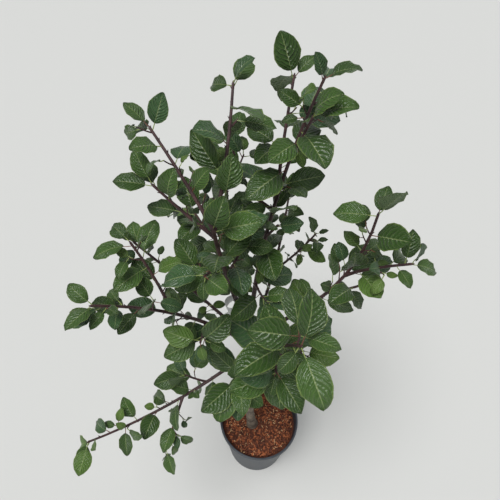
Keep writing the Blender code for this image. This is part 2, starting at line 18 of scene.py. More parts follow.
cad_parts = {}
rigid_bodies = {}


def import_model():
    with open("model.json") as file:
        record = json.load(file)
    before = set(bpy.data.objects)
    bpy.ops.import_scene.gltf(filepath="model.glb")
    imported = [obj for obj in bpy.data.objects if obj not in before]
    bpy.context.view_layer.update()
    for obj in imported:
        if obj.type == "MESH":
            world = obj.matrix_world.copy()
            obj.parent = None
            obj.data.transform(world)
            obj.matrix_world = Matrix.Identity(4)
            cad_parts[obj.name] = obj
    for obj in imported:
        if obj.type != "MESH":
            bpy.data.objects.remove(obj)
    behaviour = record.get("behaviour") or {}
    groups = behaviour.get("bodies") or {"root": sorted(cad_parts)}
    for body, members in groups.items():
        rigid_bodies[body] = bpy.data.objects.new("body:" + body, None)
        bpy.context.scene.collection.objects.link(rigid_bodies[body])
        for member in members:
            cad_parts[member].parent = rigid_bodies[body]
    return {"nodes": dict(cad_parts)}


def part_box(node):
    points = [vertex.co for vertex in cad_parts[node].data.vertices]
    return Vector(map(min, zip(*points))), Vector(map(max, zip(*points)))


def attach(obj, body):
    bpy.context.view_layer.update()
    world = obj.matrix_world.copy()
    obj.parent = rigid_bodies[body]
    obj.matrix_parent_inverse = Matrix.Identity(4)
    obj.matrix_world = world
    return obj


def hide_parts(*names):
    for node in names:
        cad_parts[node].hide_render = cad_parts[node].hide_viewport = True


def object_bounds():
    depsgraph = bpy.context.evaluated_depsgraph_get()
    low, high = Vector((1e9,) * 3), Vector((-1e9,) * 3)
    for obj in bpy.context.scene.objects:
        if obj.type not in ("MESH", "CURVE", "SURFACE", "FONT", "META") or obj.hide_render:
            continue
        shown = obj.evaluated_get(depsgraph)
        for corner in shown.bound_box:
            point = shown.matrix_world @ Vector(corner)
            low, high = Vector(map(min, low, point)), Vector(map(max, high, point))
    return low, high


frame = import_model()
CAD_BOX = [[float(value) for value in corner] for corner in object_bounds()]
MM = 0.001
print("nodes in the frame:", len(frame["nodes"]))

# %% [markdown]
# Shared helpers come first. A material is a node tree, and writing one is mostly adding a node,
# setting its inputs and linking it, so one function does that. Colours are picked as sRGB hex
# values, as on a screen, and one function turns them into the linear values that light uses.

# %% Helpers for materials and meshes
def linear(colour, shade=1.0):
    """An sRGB hex colour as a linear RGBA tuple, darkened by a shade below 1."""
    parts = [int(colour[i:i + 2], 16) / 255 for i in (1, 3, 5)]
    parts = [p / 12.92 if p <= 0.04045 else ((p + 0.055) / 1.055) ** 2.4 for p in parts]
    return (*(shade * p for p in parts), 1.0)


def feed(tree, node, inputs):
    """Sets a node's inputs, by name or number, to values, sockets or other nodes' first outputs."""
    for key, value in inputs.items():
        if isinstance(key, str):
            named = [socket for socket in node.inputs if socket.name == key]
            target = max(named, key=lambda socket: socket.enabled)
        else:
            target = node.inputs[key]
        if isinstance(value, bpy.types.Node):
            value = next(socket for socket in value.outputs if socket.enabled)
        if isinstance(value, bpy.types.NodeSocket):
            tree.links.new(value, target)
        else:
            target.default_value = value


def add(tree, kind, inputs=None, stops=(), **settings):
    """A node with its settings, its inputs and, on a colour ramp, its stops of place and colour."""
    node = tree.nodes.new(kind)
    for name, value in settings.items():
        setattr(node, name, value)
    for number, (place, colour) in enumerate(stops):
        node.color_ramp.elements[number].position = place
        node.color_ramp.elements[number].color = linear(colour)
    feed(tree, node, inputs or {})
    return node


def new_material(name):
    """A material, its tree, its empty Principled shader, and the object coordinates there."""
    material = bpy.data.materials.new(name)
    material.use_nodes = True
    tree = material.node_tree
    place = add(tree, "ShaderNodeTexCoord").outputs["Object"]
    return material, tree, tree.nodes["Principled BSDF"], place


def add_piece(name, data):
    piece = bpy.data.objects.new(name, data)
    bpy.context.scene.collection.objects.link(piece)
    return piece


def plain_piece(name, thing):
    """Turns an object with modifiers into a plain mesh object of that name."""
    bpy.context.view_layer.update()
    graph = bpy.context.evaluated_depsgraph_get()
    mesh = bpy.data.meshes.new_from_object(thing.evaluated_get(graph))
    mesh.transform(thing.matrix_world)
    bpy.data.objects.remove(thing, do_unlink=True)
    mesh.name = name
    return add_piece(name, mesh)


def weld(mesh, distance):
    """Merges a mesh's doubled points and turns its faces outwards."""
    work = bmesh.new()
    work.from_mesh(mesh)
    bmesh.ops.remove_doubles(work, verts=work.verts, dist=distance)
    bmesh.ops.recalc_face_normals(work, faces=work.faces)
    work.to_mesh(mesh)
    work.free()


def formed(name, operator, **sizes):
    """A mesh that one of bmesh's operators makes."""
    mesh = bpy.data.meshes.new(name)
    work = bmesh.new()
    operator(work, **sizes)
    work.to_mesh(mesh)
    work.free()
    return mesh


def smooth(mesh, degrees):
    mesh.shade_smooth()
    mesh.set_sharp_from_angle(angle=math.radians(degrees))


def dress(piece, slot, *nodes):
    """Rides a finished piece on the plant, hides the frame's parts that it stands in for, and prints
    its triangles. The slot argument is not used.
    """
    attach(piece, "root")
    if nodes:
        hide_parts(*nodes)
    piece.data.calc_loop_triangles()
    print(f"{piece.name}: {len(piece.data.loop_triangles)} triangles")



# %% [markdown]
# The camera stands where the photographer did: 1.6 m up, looking down on the pot by about 44
# degrees with a slight roll. The place was found by fitting the pot's rim and foot, which are
# circles of known size. A printed check turns a point of the model into picture pixels.

# %% Camera
CAMERA_PLACE = Vector((-0.062, -0.553, 1.611))
CAMERA_PITCH = 44.177
CAMERA_ROLL = 2.807
FOCAL_PIXELS = 375.6
FRAME_PIXELS = 500
SENSOR = 36.0

camera_data = bpy.data.cameras.new("camera")
camera_data.sensor_width = SENSOR
camera_data.lens = SENSOR * FOCAL_PIXELS / FRAME_PIXELS
camera = bpy.data.objects.new("camera", camera_data)
camera.matrix_world = (Matrix.Translation(CAMERA_PLACE)
                       @ Matrix.Rotation(math.radians(90 - CAMERA_PITCH), 4, "X")
                       @ Matrix.Rotation(math.radians(CAMERA_ROLL), 4, "Z"))
bpy.context.scene.collection.objects.link(camera)
bpy.context.scene.camera = camera


def pixel_of(point):
    """Where a point of the model falls in the picture."""
    seen = camera.matrix_world.inverted() @ Vector(point)
    half = FRAME_PIXELS / 2
    return (round(half + FOCAL_PIXELS * seen.x / -seen.z, 1),
            round(half - FOCAL_PIXELS * seen.y / -seen.z, 1))


print("lens:", round(camera_data.lens, 2), "mm")

# %% [markdown]
# The tree's limbs are arcs: each starts on its parent, and has a heading, a rise, a length, and
# how far heading and rise change along it. Along each shoot sit the eyes, which are the places
# where leaves grow, about 144 degrees further round the shoot each time. This is the same rule
# that the solid model follows, with the same seeded draws, so each leaf here lies on its solid.

# %% The limbs
Limb = namedtuple("Limb", "name parent start heading rise length turn lift bare leaf eye spurs seed")
LIMBS = [Limb(*row) for row in (
    ("trunk", "", 0.00, 195, 83, 0.600, -86, 8, 0.600, 0.000, 0.000, 0.0, 0),
    ("right_leader", "trunk", 0.98, 72, 85, 0.615, -50, -16, 0.150, 0.074, 0.038, 0.0, 894),
    ("left_leader", "trunk", 0.97, 183, 75, 0.395, 58, 3, 0.165, 0.086, 0.030, 0.1, 129),
    ("right", "trunk", 0.94, 3, 36, 0.510, -32, 56, 0.165, 0.072, 0.040, 0.0, 479),
    ("left_upper", "trunk", 0.91, 174, 53, 0.410, 9, 0, 0.120, 0.060, 0.038, 0.3, 28),
    ("left_middle", "trunk", 0.87, 195, 56, 0.480, 28, -17, 0.110, 0.058, 0.030, 0.2, 493),
    ("low_left", "trunk", 0.80, 209, -33, 0.460, 9, 60, 0.085, 0.058, 0.034, 0.0, 748),
    ("front", "trunk", 0.84, -56, 58, 0.420, -23, -1, 0.160, 0.096, 0.026, 0.3, 655),
    ("back_left", "trunk", 0.93, 118, 52, 0.420, -18, 14, 0.130, 0.076, 0.030, 0.2, 529),
    ("back_right", "trunk", 0.89, 62, 40, 0.400, 16, 30, 0.130, 0.068, 0.038, 0.1, 105),
    ("low_front", "trunk", 0.74, -105, 35, 0.190, 10, 20, 0.050, 0.088, 0.018, 0.0, 189),
    ("low_right", "trunk", 0.78, -20, 30, 0.200, -10, 25, 0.060, 0.090, 0.022, 0.3, 909),
    ("right_leader_fork", "right_leader", 0.62, 85, 65, 0.225, -10, 0, 0.030, 0.076, 0.032, 0.2, 788),
    ("right_leader_twig", "right_leader", 0.58, 159, 16, 0.165, -47, 49, 0.020, 0.072, 0.022, 0.3, 717),
    ("left_fork", "left_leader", 1.00, 140, 48, 0.200, 4, -5, 0.020, 0.060, 0.030, 0.1, 979),
    ("left_twig", "left_leader", 0.93, 166, 36, 0.145, -3, 5, 0.020, 0.054, 0.030, 0.3, 152),
    ("centre_leader", "left_leader", 0.97, 71, 58, 0.255, 17, -2, 0.020, 0.066, 0.026, 0.2, 616),
    ("left_middle_twig", "left_middle", 0.60, 150, 75, 0.190, 10, -15, 0.020, 0.062, 0.026, 0.0, 163),
    ("low_left_twig", "low_left", 0.46, -102, -21, 0.160, -20, -45, 0.020, 0.054, 0.038, 0.2, 665),
    ("right_twig", "right", 0.66, -48, 56, 0.150, 27, -25, 0.020, 0.062, 0.020, 0.0, 123),
    ("right_leader_low", "right_leader", 0.26, -75, 20, 0.070, 0, 10, 0.015, 0.070, 0.020, 0.0, 375),
    ("right_leader_side", "right_leader", 0.48, -35, 55, 0.050, 0, 10, 0.015, 0.062, 0.022, 0.0, 562),
    ("right_leader_high", "right_leader", 0.78, -20, 65, 0.080, 0, 10, 0.015, 0.074, 0.020, 0.0, 955),
    ("left_leader_low", "left_leader", 0.58, 175, 5, 0.070, 0, 15, 0.015, 0.072, 0.022, 0.0, 139),
    ("left_leader_front", "left_leader", 0.74, -110, 15, 0.080, 0, 15, 0.015, 0.076, 0.028, 0.0, 872),
    ("left_leader_back", "left_leader", 0.62, 35, 50, 0.080, 0, 15, 0.015, 0.076, 0.026, 0.0, 174),
    ("left_middle_low", "left_middle", 0.38, -90, 20, 0.090, 0, 15, 0.015, 0.072, 0.020, 0.0, 405),
    ("right_low", "right", 0.52, -20, 35, 0.100, 0, 15, 0.015, 0.076, 0.028, 0.0, 96),
    ("low_left_up", "low_left", 0.30, 185, 30, 0.070, 0, 15, 0.015, 0.072, 0.026, 0.0, 80),
    ("front_twig", "front", 0.54, -90, 0, 0.070, 0, 15, 0.015, 0.096, 0.020, 0.0, 299),
    ("back_left_twig", "back_left", 0.50, 150, 30, 0.150, 0, 20, 0.020, 0.078, 0.024, 0.0, 193),
    ("back_right_twig", "back_right", 0.50, 20, 35, 0.150, 0, 20, 0.020, 0.064, 0.034, 0.0, 388),
)]
Leaf = namedtuple("Leaf", "root way face petiole length width arch fold twist")
Twig = namedtuple("Twig", "points radii")
print("limbs:", len(LIMBS))

# %% Sizes of the limbs
GAP = 0.0003
COMPOST_LEVEL = 0.208
TRUNK_FOOT = (-0.024, -0.012, COMPOST_LEVEL + GAP)
TRUNK_FOOT_RADIUS = 0.0150
TRUNK_TOP_RADIUS = 0.0095
FLARE_REACH = 0.0060
FLARE_HEIGHT = 0.030
SHOOT_TIP_RADIUS = 0.0024
SHOOT_TAPER = 0.0066
BOUGH_RUN = 0.042
COLLAR_SHARE = 0.35
COLLAR_RUN = 0.020
print("trunk foot in the picture:", pixel_of(TRUNK_FOOT))


# %% Axes of the limbs
def unit(vector):
    return vector / math.sqrt(float(vector @ vector))


def arc_points(start, limb):
    """Points of a limb's axis from its start, a few centimetres apart."""
    count = max(4, round(limb.length / BOUGH_RUN))
    share = (np.arange(count) + 0.5) / count
    heading = np.radians(limb.heading + limb.turn * share)
    rise = np.radians(limb.rise + limb.lift * share)
    steps = np.stack((np.cos(rise) * np.cos(heading), np.cos(rise) * np.sin(heading), np.sin(rise)), 1)
    steps *= limb.length / count
    return np.vstack((start, start + np.cumsum(steps, axis=0)))


def spot_on(axis, share):
    """The point at a share of an axis, and the direction there."""
    place = min(max(share, 0.0), 1.0) * (len(axis) - 1)
    index = min(int(place), len(axis) - 2)
    step = axis[index + 1] - axis[index]
    return axis[index] + step * (place - index), unit(step)


def limb_axes():
    """Every limb's axis by name, each starting on its parent's axis."""
    axes = {}
    for limb in LIMBS:
        start = np.array(TRUNK_FOOT)
        if limb.parent:
            start = spot_on(axes[limb.parent], limb.start)[0]
        axes[limb.name] = arc_points(start, limb)
    return axes


def limb_radius(limb, share):
    """A limb is as thick as the longest run of wood it carries, with a collar at its foot."""
    along = share * limb.length
    if not limb.parent:
        flare = FLARE_REACH * math.exp(-along / FLARE_HEIGHT)
        return TRUNK_FOOT_RADIUS + (TRUNK_TOP_RADIUS - TRUNK_FOOT_RADIUS) * share + flare
    carried = limb.length - along
    for child in LIMBS:
        if child.parent == limb.name and child.start >= share:
            carried = max(carried, child.start * limb.length - along + child.length)
    collar = 1.0 + COLLAR_SHARE * math.exp(-along / COLLAR_RUN)
    return (SHOOT_TIP_RADIUS + SHOOT_TAPER * carried) * collar


def around_axis(ahead, angle):
    """The direction square to ahead, at an angle round it."""
    side = np.cross(ahead, (0.0, 0.0, 1.0))
    if side @ side < 0.01:
        side = np.cross(ahead, (0.0, 1.0, 0.0))
    side = unit(side)
    return math.cos(angle) * side + math.sin(angle) * np.cross(side, ahead)


def mass_of(limb):
    """The mass of foliage that a limb belongs to: its own, or that of the limb it forks from."""
    if limb.name == "trunk":
        return ""
    return limb.name if limb.parent == "trunk" else limb.parent


# %% Leaves and spurs of a shoot
SPUR_RADIUS = 0.0016
FOOT_SWELL = 1.3
EYE_TURN = 144.0
EYE_TURN_PLAY = 28.0
EYE_PLAY = (0.7, 1.3)
EYE_SPREAD = (38, 72)
END_SIZE = 0.78
END_SIZE_GAIN = 1.2
TIP_LEAVES = 3
TIP_SEAT = 0.995
TIP_STEP = 0.004
TIP_TURN = 130.0
TIP_SPREAD = (12, 60)
TIP_SIZE = 0.84
TIP_DRAWS = 900
SPUR_LEAVES = 3
SPUR_AHEAD = 0.6
SPUR_RISE = np.array((0.0, 0.0, 0.35))
SPUR_SEAT = 0.94
SPUR_SEAT_STEP = 0.09
SPUR_LENGTH = (0.012, 0.040)
SPUR_SPREAD = (40, 75)
SPUR_TURN_PLAY = 25
SPUR_SIZE = 0.86
LEAF_TRIES = 4
TRY_TURN = 25
LIGHT = np.array((-0.05, -0.50, 0.86))
LEAN = 0.30
TOSS = 0.55
SAG = 0.9
LEAF_SIZE = (0.78, 1.18)
SMALL_ODDS = 0.12
SMALL_SIZE = 0.55
WIDTH_SHARE = 0.68
WIDTH_PLAY = (0.88, 1.12)
ARCH = (5, 65)
FOLD = (4, 30)
TWIST = (-25, 25)
PETIOLE_SHARE = 0.20
PETIOLE_LEAST = 0.004


def leaf_on(rng, root, ahead, angle, spread, size):
    """One leaf: it leaves its twig at an angle, sags a little and turns its face to the light."""
    way = math.cos(spread) * ahead + math.sin(spread) * around_axis(ahead, angle)
    way = unit(way + np.array((0.0, 0.0, -rng.uniform(0.0, 1.0) ** 2 * SAG)))
    toss = np.array((rng.uniform(-1, 1), rng.uniform(-1, 1), rng.uniform(-1, 1)))
    face = LIGHT + LEAN * ahead + TOSS * toss
    face = unit(face - (face @ way) * way)
    length = size * rng.uniform(*LEAF_SIZE)
    if rng.random() < SMALL_ODDS:
        length *= SMALL_SIZE
    return Leaf(root, way, face, PETIOLE_SHARE * length + PETIOLE_LEAST, length,
                length * WIDTH_SHARE * rng.uniform(*WIDTH_PLAY), math.radians(rng.uniform(*ARCH)),
                math.radians(rng.uniform(*FOLD)), math.radians(rng.uniform(*TWIST)))


def grow_shoot(limb, axis, room, mass):
    """The spurs and leaves of one shoot, eye by eye from its bare foot to its tip."""
    rng = random.Random(limb.seed)
    angle = rng.uniform(0.0, 360.0)
    along = limb.bare + rng.uniform(0.2, 1.0) * limb.eye
    spurs = []
    leaves = []
    eye = 0
    while along < limb.length - limb.eye * 0.5:
        share = along / limb.length
        root, ahead = spot_on(axis, share)
        angle += EYE_TURN + rng.uniform(-EYE_TURN_PLAY, EYE_TURN_PLAY)
        size = limb.leaf * min(1.0, END_SIZE + END_SIZE_GAIN * (1.0 - share))
        draws = random.Random(limb.seed * 1000 + eye)
        if draws.random() < limb.spurs:
            grow_spur(draws, root, ahead, math.radians(angle), size, room, mass, spurs, leaves)
        else:
            grow_leaf(draws, root, ahead, math.radians(angle), EYE_SPREAD, size, room, mass, leaves)
        along += limb.eye * rng.uniform(*EYE_PLAY)
        eye += 1
    for number in range(TIP_LEAVES):
        root, ahead = spot_on(axis, TIP_SEAT - TIP_STEP * number / limb.length)
        draws = random.Random(limb.seed * 1000 + TIP_DRAWS + number)
        spin = math.radians(angle + number * TIP_TURN)
        grow_leaf(draws, root, ahead, spin, TIP_SPREAD, limb.leaf * TIP_SIZE, room, mass, leaves)
    return spurs, leaves


def grow_leaf(draws, root, ahead, angle, spreads, size, room, mass, leaves):
    """One leaf from an eye, turned a little further at each try until it has room."""
    for attempt in range(LEAF_TRIES):
        spread = math.radians(draws.uniform(*spreads))
        turned = angle + math.radians(TRY_TURN * attempt) * draws.choice((-1, 1))
        leaf = leaf_on(draws, root, ahead, turned, spread, size)
        if room.has_leaf_room(leaf, mass):
            leaves.append(leaf)
            return


def grow_spur(draws, root, ahead, angle, size, room, mass, spurs, leaves):
    """A short spur with a rosette of three leaves round its tip."""
    out = unit(SPUR_AHEAD * ahead + around_axis(ahead, angle) + SPUR_RISE)
    length = draws.uniform(*SPUR_LENGTH)
    if not room.has_spur_room(root, out, length):
        return
    spurs.append(Twig((root, root + out * length), (SPUR_RADIUS * FOOT_SWELL, SPUR_RADIUS)))
    turn = draws.uniform(0.0, 2.0 * math.pi)
    for number in range(SPUR_LEAVES):
        seat = root + out * (length * (SPUR_SEAT - SPUR_SEAT_STEP * number))
        play = draws.uniform(-SPUR_TURN_PLAY, SPUR_TURN_PLAY)
        spin = turn + math.radians(number * 360 / SPUR_LEAVES + play)
        grow_leaf(draws, seat, out, spin, SPUR_SPREAD, size * SPUR_SIZE, room, mass, leaves)


# %% Room between leaves
LEAST_ARCH = 0.01
BLADE_LOWNESS = 0.85
BLADE_ROUNDNESS = 0.7
LEAF_ROOM = 0.0070
WOOD_ROOM = 0.0065
WOOD_NEAR = 0.02
WOOD_STEP = 0.006
COMPOST_ROOM = 0.01
BLADE_TEST_SHARES = (0.08, 0.20, 0.32, 0.44, 0.56, 0.68, 0.80, 0.92)
BLADE_TEST_PARTS = np.linspace(-1.0, 1.0, 7)
SPUR_TEST_SHARES = (0.4, 0.6, 0.8, 1.0)


def apart(points, place):
    """The distances from points to a place, or to the places of another axis."""
    return np.sqrt(((points - place) ** 2).sum(axis=-1))


class Room:
    """The space that wood and leaves have taken, and which mass holds it."""

    def __init__(self, wood):
        """wood holds an axis point, a radius and a mass name (or none) for each place."""
        self.wood, self.wood_radius, self.wood_mass = map(np.array, zip(*wood))
        self.centres = np.zeros((0, 3))
        self.reaches = np.zeros(0)
        self.clouds = []

    def has_leaf_room(self, leaf, mass):
        """Whether a leaf is clear of all else and nearest its own mass; if so, it is taken in."""
        cloud = blade_points(leaf)
        centre = cloud.mean(axis=0)
        reach = apart(cloud, centre).max()
        gaps = apart(self.wood, centre)
        leafy = self.wood_mass != ""
        if self.wood_mass[leafy][gaps[leafy].argmin()] != mass:
            return False
        near = gaps < reach + WOOD_NEAR
        if near.any() and self.wood_gap(cloud, near) < WOOD_ROOM:
            return False
        if self.meets_leaves(cloud, centre, reach) or cloud[:, 2].min() < COMPOST_LEVEL + COMPOST_ROOM:
            return False
        self.centres = np.vstack((self.centres, centre))
        self.reaches = np.append(self.reaches, reach)
        self.clouds.append(cloud)
        return True

    def meets_leaves(self, cloud, centre, reach):
        """Whether a cloud of points comes too near a leaf that is already there."""
        near = apart(self.centres, centre) < self.reaches + reach + LEAF_ROOM
        return any(apart(cloud[:, None], self.clouds[index]).min() < LEAF_ROOM
                   for index in np.nonzero(near)[0])

    def wood_gap(self, cloud, chosen):
        """The least gap between a cloud of points and the wood at the chosen places."""
        return (apart(cloud[:, None], self.wood[chosen]) - self.wood_radius[chosen]).min()

    def has_spur_room(self, root, out, length):
        """Whether a spur is clear of leaves and of other wood."""
        cloud = np.array([root + out * length * share for share in SPUR_TEST_SHARES])
        if self.meets_leaves(cloud, cloud[2], length):
            return False
        return self.wood_gap(cloud, apart(self.wood, root) > WOOD_NEAR) > WOOD_ROOM


def leaf_frame(leaf, share):
    """Midrib point, direction, side and face of a blade at a share of its length."""
    bend = max(leaf.arch, LEAST_ARCH)
    turned = bend * share
    base = leaf.root + leaf.way * leaf.petiole
    run = leaf.length / bend
    point = base + run * (math.sin(turned) * leaf.way - (1.0 - math.cos(turned)) * leaf.face)
    ahead = math.cos(turned) * leaf.way - math.sin(turned) * leaf.face
    face = math.cos(turned) * leaf.face + math.sin(turned) * leaf.way
    side = np.cross(face, ahead)
    twisted = leaf.twist * share
    side, face = (math.cos(twisted) * side + math.sin(twisted) * face,
                  math.cos(twisted) * face - math.sin(twisted) * side)
    return point, ahead, side, face


def half_width(leaf, share):
    """Half of the blade's width: broad below the middle, round, then a short point."""
    return 0.5 * leaf.width * math.sin(math.pi * share ** BLADE_LOWNESS) ** BLADE_ROUNDNESS


def blade_points(leaf):
    """Points all over the blade, a few millimetres apart, to test its room."""
    points = []
    lift = math.tan(leaf.fold)
    for share in BLADE_TEST_SHARES:
        point, ahead, side, face = leaf_frame(leaf, share)
        reach = half_width(leaf, share)
        across = reach * BLADE_TEST_PARTS[:, None]
        points.append(point + across * side + np.abs(across) * lift * face)
    points.append(leaf_frame(leaf, 1.0)[0][None])
    return np.vstack(points)


def wood_places(axes):
    """Axis points every few millimetres along all limbs, with radius and the mass they carry."""
    places = []
    for limb in LIMBS:
        count = round(limb.length / WOOD_STEP)
        for index in range(count + 1):
            share = index / count
            mass = mass_of(limb) if share * limb.length >= limb.bare else ""
            places.append((spot_on(axes[limb.name], share)[0], limb_radius(limb, share), mass))
    return places


# %% Grow the tree
def grow_tree():
    """All limb axes, the spurs and leaves of every mass, and the room they have left."""
    axes = limb_axes()
    room = Room(wood_places(axes))
    growth = {mass_of(limb): ([], []) for limb in LIMBS[1:]}
    for limb in LIMBS[1:]:
        spurs, leaves = grow_shoot(limb, axes[limb.name], room, mass_of(limb))
        growth[mass_of(limb)][0].extend(spurs)
        growth[mass_of(limb)][1].extend(leaves)
    return axes, growth, room


AXES, GROWTH, ROOM = grow_tree()
print("leaves on the limbs:", sum(len(leaves) for spurs, leaves in GROWTH.values()))

# %% [markdown]
# The solid model stops at the larger leaves. A real shoot also carries small young leaves and
# short side twigs in its leaf axils. They are grown here by the same rule with finer sizes: a
# thin twiglet leaves each second eye or so, with a few small leaves, and only where there is
# room, within the reach that the solids have.

# %% Finer growth
FINE_SEED = 41
FINE_ODDS = 0.55
FINE_STEP = 0.021
FINE_TWIG_LENGTH = (0.010, 0.030)
FINE_TWIG_RADIUS = 0.0011
FINE_LEAF_SHARE = (0.38, 0.72)
FINE_SPREAD = (20, 60)
FINE_LEAVES = 2
FINE_TURN_PLAY = 40
FINE_SEAT_STEP = 0.3
FINE_AHEAD = 0.7
FINE_RISE = np.array((0.0, 0.0, 0.3))


def inside_cad_box(leaf):
    """Whether a leaf's tip stays within the reach that the solid model has."""
    tip = leaf_frame(leaf, 1.0)[0]
    return all(CAD_BOX[0][axis] < tip[axis] < CAD_BOX[1][axis] for axis in range(3))


def grow_fine(limb, axis, room):
    """Twiglets with small leaves, between the eyes of one shoot."""
    rng = random.Random(FINE_SEED + limb.seed)
    twigs = []
    leaves = []
    along = limb.bare + FINE_STEP
    while along < limb.length:
        root, ahead = spot_on(axis, along / limb.length)
        angle = rng.uniform(0.0, 2.0 * math.pi)
        along += FINE_STEP
        length = rng.uniform(*FINE_TWIG_LENGTH)
        out = unit(FINE_AHEAD * ahead + around_axis(ahead, angle) + FINE_RISE)
        if rng.random() > FINE_ODDS or not room.has_spur_room(root, out, length):
            continue
        before = len(leaves)
        for number in range(FINE_LEAVES):
            size = limb.leaf * rng.uniform(*FINE_LEAF_SHARE)
            play = rng.uniform(-FINE_TURN_PLAY, FINE_TURN_PLAY)
            spin = angle + math.radians(360 / FINE_LEAVES * number + play)
            seat = root + out * length * (1.0 - FINE_SEAT_STEP * number)
            grown = []
            grow_leaf(rng, seat, out, spin, FINE_SPREAD, size, room, mass_of(limb), grown)
            leaves.extend(leaf for leaf in grown if inside_cad_box(leaf))
        if len(leaves) > before:
            radii = (FINE_TWIG_RADIUS * FOOT_SWELL, FINE_TWIG_RADIUS)
            twigs.append(Twig((root, root + out * length), radii))
    return twigs, leaves


FINE = {mass: ([], []) for mass in GROWTH}
for limb in LIMBS[1:]:
    fine_twigs, fine_leaves = grow_fine(limb, AXES[limb.name], ROOM)
    FINE[mass_of(limb)][0].extend(fine_twigs)
    FINE[mass_of(limb)][1].extend(fine_leaves)
print("small leaves:", sum(len(leaves) for twigs, leaves in FINE.values()))

# %% [markdown]
# Plum leaves are leathery and wrinkled: glossy enough above to mirror the sky, with sunken side
# veins that arch towards the tip, and paler and matt below. Leaves of one tree differ a little
# with age and light, so there are several uppers, and each leaf is dealt one of them as a whole.
# The veins could be modelled, but they are finer than a pixel is wide. So they are lines in the
# colour and in the bump, worked out from each leaf's own UV map: X runs across, Y to the tip.

# %% Leaf materials
VEIN_PAIRS = 8
VEIN_COLOUR = "#a9b77c"
MARGIN_COLOUR = "#93a35a"
MARGIN_SHARE = 0.35
MIDRIB_SHARE = 0.45
UPPERS = (
    ("leaf_upper_mid", "#48682c", 6),
    ("leaf_upper_deep", "#3a5822", 5),
    ("leaf_upper_cool", "#42643a", 2),
    ("leaf_upper_fresh", "#5c7d33", 1),
)


def vein_pattern(tree):
    """Masks from 0 to 1: swell between side veins, on a side vein, on the midrib, at the margin."""
    place = add(tree, "ShaderNodeTexCoord").outputs
    parts = add(tree, "ShaderNodeSeparateXYZ", {0: place["UV"]}).outputs
    centred = add(tree, "ShaderNodeMath", {0: parts["X"], 1: 0.5}, operation="SUBTRACT")
    out = add(tree, "ShaderNodeMath", {0: centred}, operation="ABSOLUTE")
    bow = add(tree, "ShaderNodeMath", {0: out, 1: -0.6, 2: -0.44}, operation="MULTIPLY_ADD")
    seat = add(tree, "ShaderNodeMath", {0: out, 1: bow, 2: parts["Y"]}, operation="MULTIPLY_ADD")
    turn = add(tree, "ShaderNodeMath", {0: centred, 1: 0.0}, operation="GREATER_THAN")
    wander = add(tree, "ShaderNodeTexNoise", {"Vector": place["Object"], "Scale": 1 / (15 * MM)})
    half = add(tree, "ShaderNodeMath", {0: turn, 1: 0.5, 2: wander}, operation="MULTIPLY_ADD")
    count = add(tree, "ShaderNodeMath", {0: seat, 1: VEIN_PAIRS, 2: half}, operation="MULTIPLY_ADD")
    gap = add(tree, "ShaderNodeMath", {0: count, 1: 0.5}, operation="PINGPONG")
    bounds = (gap, 0.0, 0.42), (gap, 0.09, 0.02), (out, 0.028, 0.010), (out, 0.44, 0.485)
    return [add(tree, "ShaderNodeMapRange", {"Value": value, "From Min": low, "From Max": high},
                interpolation_type="SMOOTHSTEP") for value, low, high in bounds]


def leaf_material(name, colour, roughness, sheen, vein_share):
    """Living leaf, grown: mottled colour, paler veins and margin, satin cuticle, wrinkled bump."""
    material, tree, shader, place = new_material(name)
    mottle = add(tree, "ShaderNodeTexNoise", {"Vector": place, "Scale": 1 / (14 * MM), "Detail": 3.0})
    crinkle = add(tree, "ShaderNodeTexVoronoi", {"Vector": place, "Scale": 1 / (3.2 * MM)},
                  feature="SMOOTH_F1")
    swell, vein, midrib, margin = vein_pattern(tree)
    tone = add(tree, "ShaderNodeMix",
               {"Factor": mottle, "A": linear(colour, 0.62), "B": linear(colour)}, data_type="RGBA")
    for mask, share, tint in ((vein, vein_share, VEIN_COLOUR), (margin, MARGIN_SHARE, MARGIN_COLOUR),
                              (midrib, MIDRIB_SHARE, VEIN_COLOUR)):
        part = add(tree, "ShaderNodeMath", {0: mask, 1: share}, operation="MULTIPLY")
        tone = add(tree, "ShaderNodeMix", {"Factor": part, "A": tone, "B": linear(tint)},
                   data_type="RGBA")
    height = add(tree, "ShaderNodeMath", {0: crinkle, 1: -0.8, 2: swell}, operation="MULTIPLY_ADD")
    bump = add(tree, "ShaderNodeBump", {"Height": height, "Strength": 1.0, "Distance": 1.3 * MM})
    feed(tree, shader, {"Base Color": tone, "Normal": bump, "Roughness": roughness, "IOR": 1.48,
                        "Sheen Weight": sheen, "Sheen Roughness": 0.5})
    return material


def stalk_material(name, colour):
    """Living leaf stalk, grown: smooth, a little waxy, one tone with faint mottling."""
    material, tree, shader, place = new_material(name)
    mottle = add(tree, "ShaderNodeTexNoise", {"Vector": place, "Scale": 1 / (6 * MM)})
    body = add(tree, "ShaderNodeMix",
               {"Factor": mottle, "A": linear(colour, 0.7), "B": linear(colour)}, data_type="RGBA")
    feed(tree, shader, {"Base Color": body, "Roughness": 0.45})
    return material


UPPER_SHARES = [share for name, colour, share in UPPERS]
LEAF_MATERIALS = [leaf_material(name, colour, 0.31, 0.04, 0.13) for name, colour, share in UPPERS]
LEAF_MATERIALS += [leaf_material("leaf_upper_young", "#6b8b3c", 0.36, 0.04, 0.12),
                   leaf_material("leaf_underside", "#6c8457", 0.60, 0.12, 0.25),
                   stalk_material("stalk_green", "#98a860"), stalk_material("stalk_red", "#7d5140")]
YOUNG, UNDERSIDE, GREEN_STALK, RED_STALK = range(len(UPPERS), len(LEAF_MATERIALS))
print("leaf materials:", [material.name for material in LEAF_MATERIALS])

